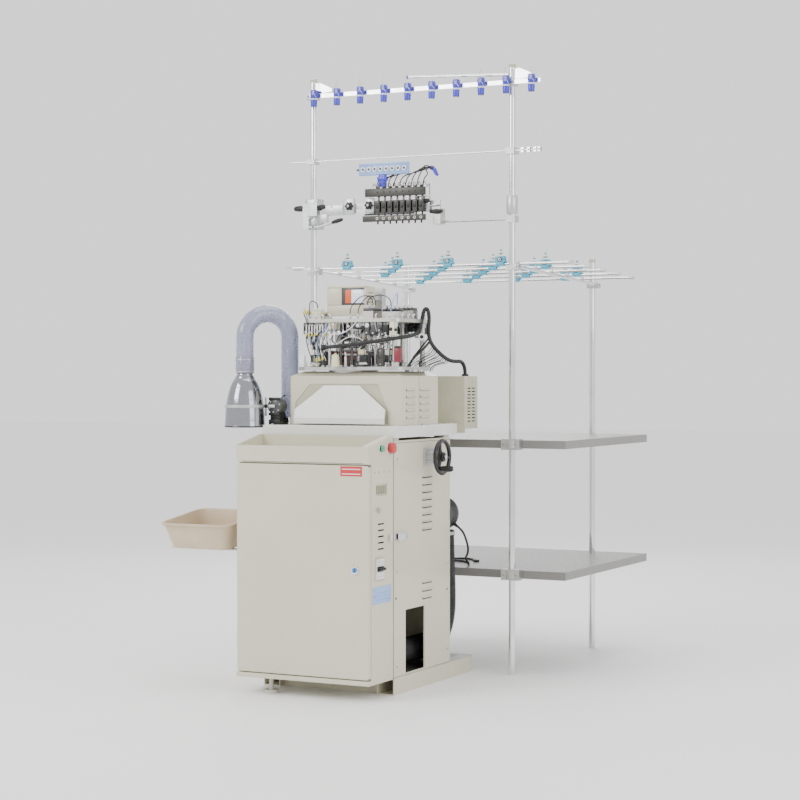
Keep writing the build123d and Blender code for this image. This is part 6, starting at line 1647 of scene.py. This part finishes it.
class KNIT_OT_yarn_feeder(Operator):
    """The stop-motion feeder: eight channels, the blue sensor panel, castings, knobs and levers"""

    bl_idname = "knit.yarn_feeder"
    bl_label = "Yarn feeder unit"

    def execute(self, context):
        bm = bmesh.new()
        brick(bm, (-157, 386, 1700), (110, 396.8, 1748), 2.0, 0)
        brick(bm, (-150, 366, 1762), (98, 384, 1792), 2.4, 0)
        brick(bm, (-157, 361.4, 1668), (104, 372, 1690), 1.6, 0)
        for channel in range(8):
            x = -95 + 26 * channel
            brick(bm, (x - 10, 362, 1700), (x + 10, 392, 1744), 2.2, 0)
            brick(bm, (x - 6, 361, 1716), (x + 6, 365, 1738), 1.0, 1)
            bar(bm, (x, 376, 1744), (x, 376, 1764), 4.2, finish=0, sides=14)
            bar(bm, (x, 376, 1690), (x, 376, 1702), 3.2, finish=1, sides=12)
            ring(bm, (x, 362.4, 1679), BACK, 4.4, 1.5, 4, 16, 6)
            bar(bm, (x, 368, 1668.2), (x, 368, 1658), 3.4, finish=1, sides=12, bevel=0.6)
            screw(bm, (x, 366, 1778), FRONT, 3.4, 0, 1)
            for turn in range(4):
                ring(bm, (x + 6, 367, 1746 + 3 * turn), UP, 2.8, 0.6, 3, 12, 5)
            brick(bm, (x - 9.4, 370, 1791), (x + 2, 382, 1799.6), 1.2, 1 if channel % 3 else 2)
        brick(bm, (-150, 362.6, 1692), (60, 366, 1698), 1.0, 1)
        for x in (-152, 100):
            for z in (1706, 1740):
                screw(bm, (x, 386, z), FRONT, 3.6, 3, 1)
        finish_piece(bm, "feeder_body", ["worn", "black", "slate", "zinc", "ceramic"], "machine",
                     ["feeder_unit"])

        bm = bmesh.new()
        brick(bm, (-178, 371, 1842), (32, 380.6, 1888), 2.0, 0)
        brick(bm, (-176, 369.2, 1844), (30, 372, 1851), 1.0, 0)
        brick(bm, (-176, 369.2, 1879), (30, 372, 1886), 1.0, 0)
        for hole in range(8):
            x = -160 + 24.6 * hole
            lathe(bm, [(5.2, 0.8), (9.4, 1.0), (10.2, 0.2), (10.2, -1.4), (5.2, -1.4)],
                  (x, 371, 1865), (0, -1, 0), 24, 1, closed=True)
            bar(bm, (x, 371.6, 1865), (x, 370.6, 1865), 5.3, finish=2, sides=18)
            brick(bm, (x + 9.5, 369.6, 1857), (x + 14, 371.4, 1873), 0.8, 3,
                  turn=Matrix.Rotation(0.5, 3, "Y"))
        brick(bm, (-92, 366, 1798), (-62, 380, 1843.5), 2.4, 4)
        brick(bm, (-97, 364, 1820), (-57, 382, 1836), 2.4, 4)
        bar(bm, (-180, 376, 1865), (-188, 376, 1865), 4, finish=2, sides=14, bevel=1)
        for x in (-170, 24):
            screw(bm, (x, 369.4, 1847), FRONT, 2.4, 5, 2)
            screw(bm, (x, 369.4, 1883), FRONT, 2.4, 5, 2)
        finish_piece(bm, "sensor_panel", ["sky", "white", "slate", "pale_blue", "blue", "zinc"],
                     "machine")

        bm = bmesh.new()
        for index in range(9):
            x = -104 + 24 * index
            out = Vector((128 + 3 * (index % 3), 380 - 3 * (index % 4), 1852 + 5 * (index % 3)))
            high = 1838 + 6 * (index % 4)
            if index < 4:
                out = Vector((28 - 6 * index, 378, 1842))
                high = 1826 + 7 * (index % 4)
            wire(bm, [(x, 376, 1798), (x + 4, 375, 1822), (x + 24, 374, high),
                      (out.x - 34, 375, high + 16), (out.x - 10, 378,
                                                     out.z + 6), out], 2.1, 0, 8, 7)
        for step in range(4):
            bar(bm, (122 + 5 * step, 378, 1862 - 7 * step), (140 + 3 * step, 382, 1852 - 7 * step),
                5.4, finish=1, sides=14, bevel=1.2)
        wire(bm, [(104, 380, 1790), (112, 379, 1806), (116, 378, 1796), (116, 378, 1762)], 1.4, 0,
             6, 5)
        for index in range(11):
            x = -118 + 21 * index
            wire(bm, [(x, 373, 1797), (x + 5, 366, 1813), (x + 14, 364, 1806),
                      (x + 17, 368, 1793)], 1.3, 2 if index % 3 else 0, 6, 5)
        finish_piece(bm, "feeder_tubes", ["black", "blue", "slate"], "machine")
        return {"FINISHED"}


class KNIT_OT_clamp_levers(Operator):
    """The two cast brackets on the feeder rail, their star knobs, handles and levers"""

    bl_idname = "knit.clamp_levers"
    bl_label = "Clamp knobs and levers"

    def handle(self, bm, start, end, radius, finish):
        """A moulded handle with finger grooves from one point to another, in mm."""
        start, end = Vector(start), Vector(end)
        run = end - start
        count = 9
        profile = [(0, 0)]
        for step in range(count):
            share = step / (count - 1)
            swell = radius * (0.66 + 0.34 * sin(pi * (0.16 + 0.84 * share) ** 1.3))
            profile.append((swell, run.length * share))
            if step < count - 1:
                profile.append((swell * 0.94, run.length * (share + 0.5 / (count - 1))))
        profile.append((0, run.length))
        lathe(bm, profile, start, run, 22, finish)

    def star(self, bm, centre, radius, depth, finish, metal):
        """A lobed star knob that faces the front."""
        outline = []
        for step in range(48):
            angle = tau * step / 48
            reach = radius * (0.86 + 0.14 * cos(6 * angle))
            outline.append((centre[0] + reach * cos(angle), centre[1],
                            centre[2] + reach * sin(angle)))
        slab(bm, outline, (0, -depth, 0), finish, 1.6)
        lathe(bm, [(radius * 0.55, -0.5), (radius * 0.5, 2.6), (radius * 0.34, 3.2), (0, 3.2)],
              (centre[0], centre[1] - depth, centre[2]), FRONT, 24, finish)
        bar(bm, (centre[0], centre[1] - depth - 3, centre[2]),
            (centre[0], centre[1] - depth - 4.6, centre[2]),
            radius * 0.26, finish=metal, sides=16)

    def execute(self, context):
        bm = bmesh.new()
        for x, low, high in ((-405, -427, -371), (425, 408, 452)):
            lathe(bm, [(12.8, -34), (19, -34), (21, -31), (21, 31), (19, 34), (12.8, 34)],
                  (x, 430, 1716), UP, 36, 0, closed=True)
            if x > 0:
                continue
            brick(bm, (low, 398, 1652), (high, 411, 1767), 4, 0)
            brick(bm, (low + 6, 394, 1664), (high - 6, 400, 1700), 3, 0)
            brick(bm, (low + 10, 390, 1720), (high + 4, 402, 1752), 4, 0)
            for z in (1662, 1690, 1758):
                for px in (low + 10, high - 10):
                    screw(bm, (px, 397.8, z), FRONT, 4.2, 2, 1)
            bar(bm, (-399, 404, 1700), (-399, 386, 1700), 10, finish=0, sides=28, bevel=1.5)
            bar(bm, (-399, 386.2, 1700), (-399, 380, 1700), 6, finish=2, sides=6)
        bar(bm, (-427, 410, 1733), (-410, 410, 1733), 6, finish=2)
        bar(bm, (-372, 392, 1733), (-360, 390, 1732), 6, finish=2)
        self.handle(bm, (-427, 410, 1733), (-476.6, 410, 1733), 12, 1)
        self.handle(bm, (-364, 390, 1732), (-327.4, 390, 1732), 12, 1)
        line = smooth_line([(-401, 386, 1660), (-370, 386, 1656), (-320, 386, 1668),
                            (-292, 386, 1676)], 8)
        tube(bm, line, 5.6, 14, 0)
        self.handle(bm, (-300, 386, 1673), (-255.6, 386, 1684), 8, 1)
        brick(bm, (-352, 380, 1676), (-318, 394, 1706), 3, 0)
        brick(bm, (-346, 383, 1700), (-250, 395, 1740), 4, 0)
        brick(bm, (-252, 386, 1700), (-206, 400, 1762), 4, 0)
        brick(bm, (-160, 384, 1700), (-120, 397, 1760), 4, 0)
        self.star(bm, (-225, 386, 1732), 17, 10, 1, 2)
        self.star(bm, (-140, 384, 1732), 17, 10, 1, 2)
        brick(bm, (60, 383, 1700), (112, 397, 1760), 4, 0)
        bar(bm, (92, 390, 1732), (112, 390, 1732), 7, finish=2)
        self.handle(bm, (76, 382, 1734), (112, 382, 1742), 9, 1)
        self.handle(bm, (112, 390, 1700), (161.6, 390, 1700), 9, 1)
        for x, z in ((-340, 1732), (-300, 1732), (-262, 1712)):
            screw(bm, (x, 383, z), FRONT, 4.4, 2, 1)
        bar(bm, (20, 392, 1716), (148, 392, 1724), 3, finish=0, sides=14)
        finish_piece(bm, "knobs_and_levers", ["zinc", "black", "chrome"], "machine",
                     ["clamp_levers"])
        return {"FINISHED"}


# ---------------------------------------------------------------- mains lead
LEAD_ROUTE = [
    (272.908, 292, 544.450), (290.929, 292, 531.831), (300, 304, 498), (296, 330, 464),
    (276, 366, 440), (250, 408, 426), (228, 452, 414), (212, 500, 398), (196, 548, 386.3),
    (176, 592, 385.3), (146, 626, 385.3), (104, 642, 385.3), (64, 664, 385.3), (52, 706, 385.3),
    (82, 738, 385.3), (126, 730, 385.3), (152, 696, 385.3),
]


class KNIT_OT_mains_lead(Operator):
    """The mains lead, its tapered strain relief and its two-pin plug"""

    bl_idname = "knit.mains_lead"
    bl_label = "Mains lead"

    def execute(self, context):
        curve = bpy.data.curves.new("lead_line", "CURVE")
        curve.dimensions = "3D"
        curve.resolution_u = 12
        curve.bevel_depth = 0.004
        curve.bevel_resolution = 5
        curve.use_fill_caps = True
        spline = curve.splines.new("NURBS")
        spline.points.add(len(LEAD_ROUTE) - 1)
        for spot, place in zip(spline.points, LEAD_ROUTE):
            spot.co = (*point(place), 1.0)
        spline.order_u = 3
        spline.use_endpoint_u = True
        lead = bpy.data.objects.new("lead_line", curve)
        bpy.context.scene.collection.objects.link(lead)
        curve.materials.append(FINISHES["rubber"])
        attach(lead, "machine")
        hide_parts("mains_lead")

        bm = bmesh.new()
        start = Vector((254.886, 292, 557.069))
        exit_point = Vector(LEAD_ROUTE[0])
        way = (exit_point - start).normalized()
        profile = [(0, -3), (8, -3), (8, 2.4), (6.9, 2.9)]
        for groove in range(5):
            base = 3.4 + 3.2 * groove
            wide = 6.9 - 0.45 * groove
            profile += [(wide, base), (wide, base + 1.7), (wide - 1.1, base + 2.1),
                        (wide - 1.1, base + 2.9)]
        profile += [(4.5, 21.9), (4.2, 22.0), (0, 22.0)]
        lathe(bm, profile, start, way, 26, 0)
        gland = finish_piece(bm, "strain_relief", ["black"], "machine",
                             ["cord_gland"])

        bm = bmesh.new()
        tail = Vector(LEAD_ROUTE[-1])
        ahead = Vector((26, -34, 0)).normalized()
        across = Vector((-ahead.y, ahead.x, 0))
        lathe(bm, [(0, -1), (4.2, -1), (4.6, 2), (3.9, 2.6), (4.8, 5), (4.0, 5.8), (5.2, 8.4),
                   (4.2, 9.2), (4.4, 14.5), (0, 14.5)], tail, ahead, 22, 0)
        outline = []
        for along, wide in ((13, 5), (16, 8), (20, 11), (25, 12), (33, 11.6), (38, 10.6), (40, 9)):
            outline.append(tail + ahead * along + across * wide)
        for along, wide in ((40, 9), (38, 10.6), (33, 11.6), (25, 12), (20, 11), (16, 8), (13, 5)):
            outline.append(tail + ahead * along - across * wide)
        outline = [spot - up(3.9) for spot in outline]
        slab(bm, outline, (0, 0, 7.8), 0, 1.4)
        plug = finish_piece(bm, "mains_plug_body", ["black"], "machine",
                            ["mains_plug"])
        return {"FINISHED"}


# ---------------------------------------------------------------- stage
class KNIT_OT_stage(Operator):
    """The pale floor, the soft studio lights and the camera"""

    bl_idname = "knit.stage"
    bl_label = "Studio"

    def soft_light(self, name, place, aim, size, power, colour=(1, 1, 1)):
        """A square area light that faces a point."""
        light = bpy.data.lights.new(name, "AREA")
        light.shape = "SQUARE"
        light.size = size
        light.energy = power
        light.color = colour
        lamp = bpy.data.objects.new(name, light)
        bpy.context.scene.collection.objects.link(lamp)
        lamp.location = place
        lamp.rotation_euler = (Vector(aim) - Vector(place)).to_track_quat("-Z", "Y").to_euler()

    def execute(self, context):
        settings = context.scene.knit_stage
        scene = context.scene
        camera = bpy.data.cameras.new("camera")
        camera.sensor_width = 36
        camera.lens = 88.31
        camera.clip_end = 100
        eye = bpy.data.objects.new("camera", camera)
        scene.collection.objects.link(eye)
        eye.location = (3.308, -6.140, 1.100)
        eye.rotation_euler = (radians(90 - 0.768), 0, radians(26.96))
        scene.camera = eye

        n = Nodes("studio_floor")
        colour = (*settings.floor_colour, 1.0)
        base = n.blend(n.stretch(n.noise(1.3, 4, 0.5), 0.3, 0.7), scaled(colour, 0.985), colour)
        floor_finish = n.out(Base_Color=base, Roughness=
                             n.stretch(n.noise(6, 3, 0.5), 0.3, 0.7, 0.5, 0.62))
        bm = bmesh.new()
        bmesh.ops.create_grid(bm, x_segments=2, y_segments=2, size=30)
        mesh = bpy.data.meshes.new("floor")
        bm.to_mesh(mesh)
        bm.free()
        floor = bpy.data.objects.new("floor", mesh)
        scene.collection.objects.link(floor)
        mesh.materials.append(floor_finish)

        world = bpy.data.worlds.new("studio")
        scene.world = world
        world.use_nodes = True
        back = world.node_tree.nodes["Background"]
        back.inputs["Color"].default_value = (1.0, 1.0, 1.0, 1.0)
        back.inputs["Strength"].default_value = 1.35
        power = settings.key_power
        self.soft_light("key", (-2.6, -4.2, 3.6), (0, 0.2, 0.9), 2.4, power)
        self.soft_light("fill", (4.6, -1.6, 2.6), (0.1, 0.3, 0.9), 2.6, power * 0.42)
        self.soft_light("top", (0.2, 0.4, 4.6), (0, 0.3, 0.8), 3.0, power * 0.5)
        self.soft_light("rim", (-1.8, 4.4, 2.8), (0, 0.4, 1.2), 2.0, power * 0.35)
        return {"FINISHED"}


# ---------------------------------------------------------------- panel
STEPS = (
    KNIT_OT_finishes, KNIT_OT_mains_lead, KNIT_OT_coat_frame, KNIT_OT_panel_details,
    KNIT_OT_door_furniture, KNIT_OT_switchgear, KNIT_OT_handwheel, KNIT_OT_suction_line,
    KNIT_OT_sock_outlet, KNIT_OT_sock_bin, KNIT_OT_needle_cylinder, KNIT_OT_cams,
    KNIT_OT_yarn_fingers, KNIT_OT_head_fittings, KNIT_OT_head_frame, KNIT_OT_display,
    KNIT_OT_wire_loom, KNIT_OT_creel_guides, KNIT_OT_creel_clamps, KNIT_OT_top_tensioners,
    KNIT_OT_yarn_feeder, KNIT_OT_clamp_levers, KNIT_OT_stage,
)
SETTINGS = (
    ("knit_enamel", KnitEnamelSettings), ("knit_head", KnitHeadSettings),
    ("knit_creel", KnitCreelSettings), ("knit_stage", KnitStageSettings),
)


class KNIT_PT_panel(Panel):
    """Lists the machine's sizes and its pieces"""

    bl_label = "Sock knitting machine"
    bl_idname = "KNIT_PT_panel"
    bl_space_type = "VIEW_3D"
    bl_region_type = "UI"
    bl_category = "Knitting"

    def draw(self, context):
        for name, kind in SETTINGS:
            box = self.layout.box()
            group = getattr(context.scene, name)
            for key in kind.__annotations__:
                box.prop(group, key)
        column = self.layout.column(align=True)
        for step in STEPS:
            column.operator(step.bl_idname)


def register():
    """Adds the classes and the scene's settings."""
    for name, kind in SETTINGS:
        bpy.utils.register_class(kind)
        setattr(bpy.types.Scene, name, PointerProperty(type=kind))
    for step in STEPS:
        bpy.utils.register_class(step)
    bpy.utils.register_class(KNIT_PT_panel)


def unregister():
    """Takes them away again."""
    bpy.utils.unregister_class(KNIT_PT_panel)
    for step in reversed(STEPS):
        bpy.utils.unregister_class(step)
    for name, kind in reversed(SETTINGS):
        delattr(bpy.types.Scene, name)
        bpy.utils.unregister_class(kind)


def main():
    """Builds everything in order."""
    register()
    for step in STEPS:
        group, action = step.bl_idname.split(".")
        getattr(getattr(bpy.ops, group), action)()


if __name__ == "__main__":
    main()
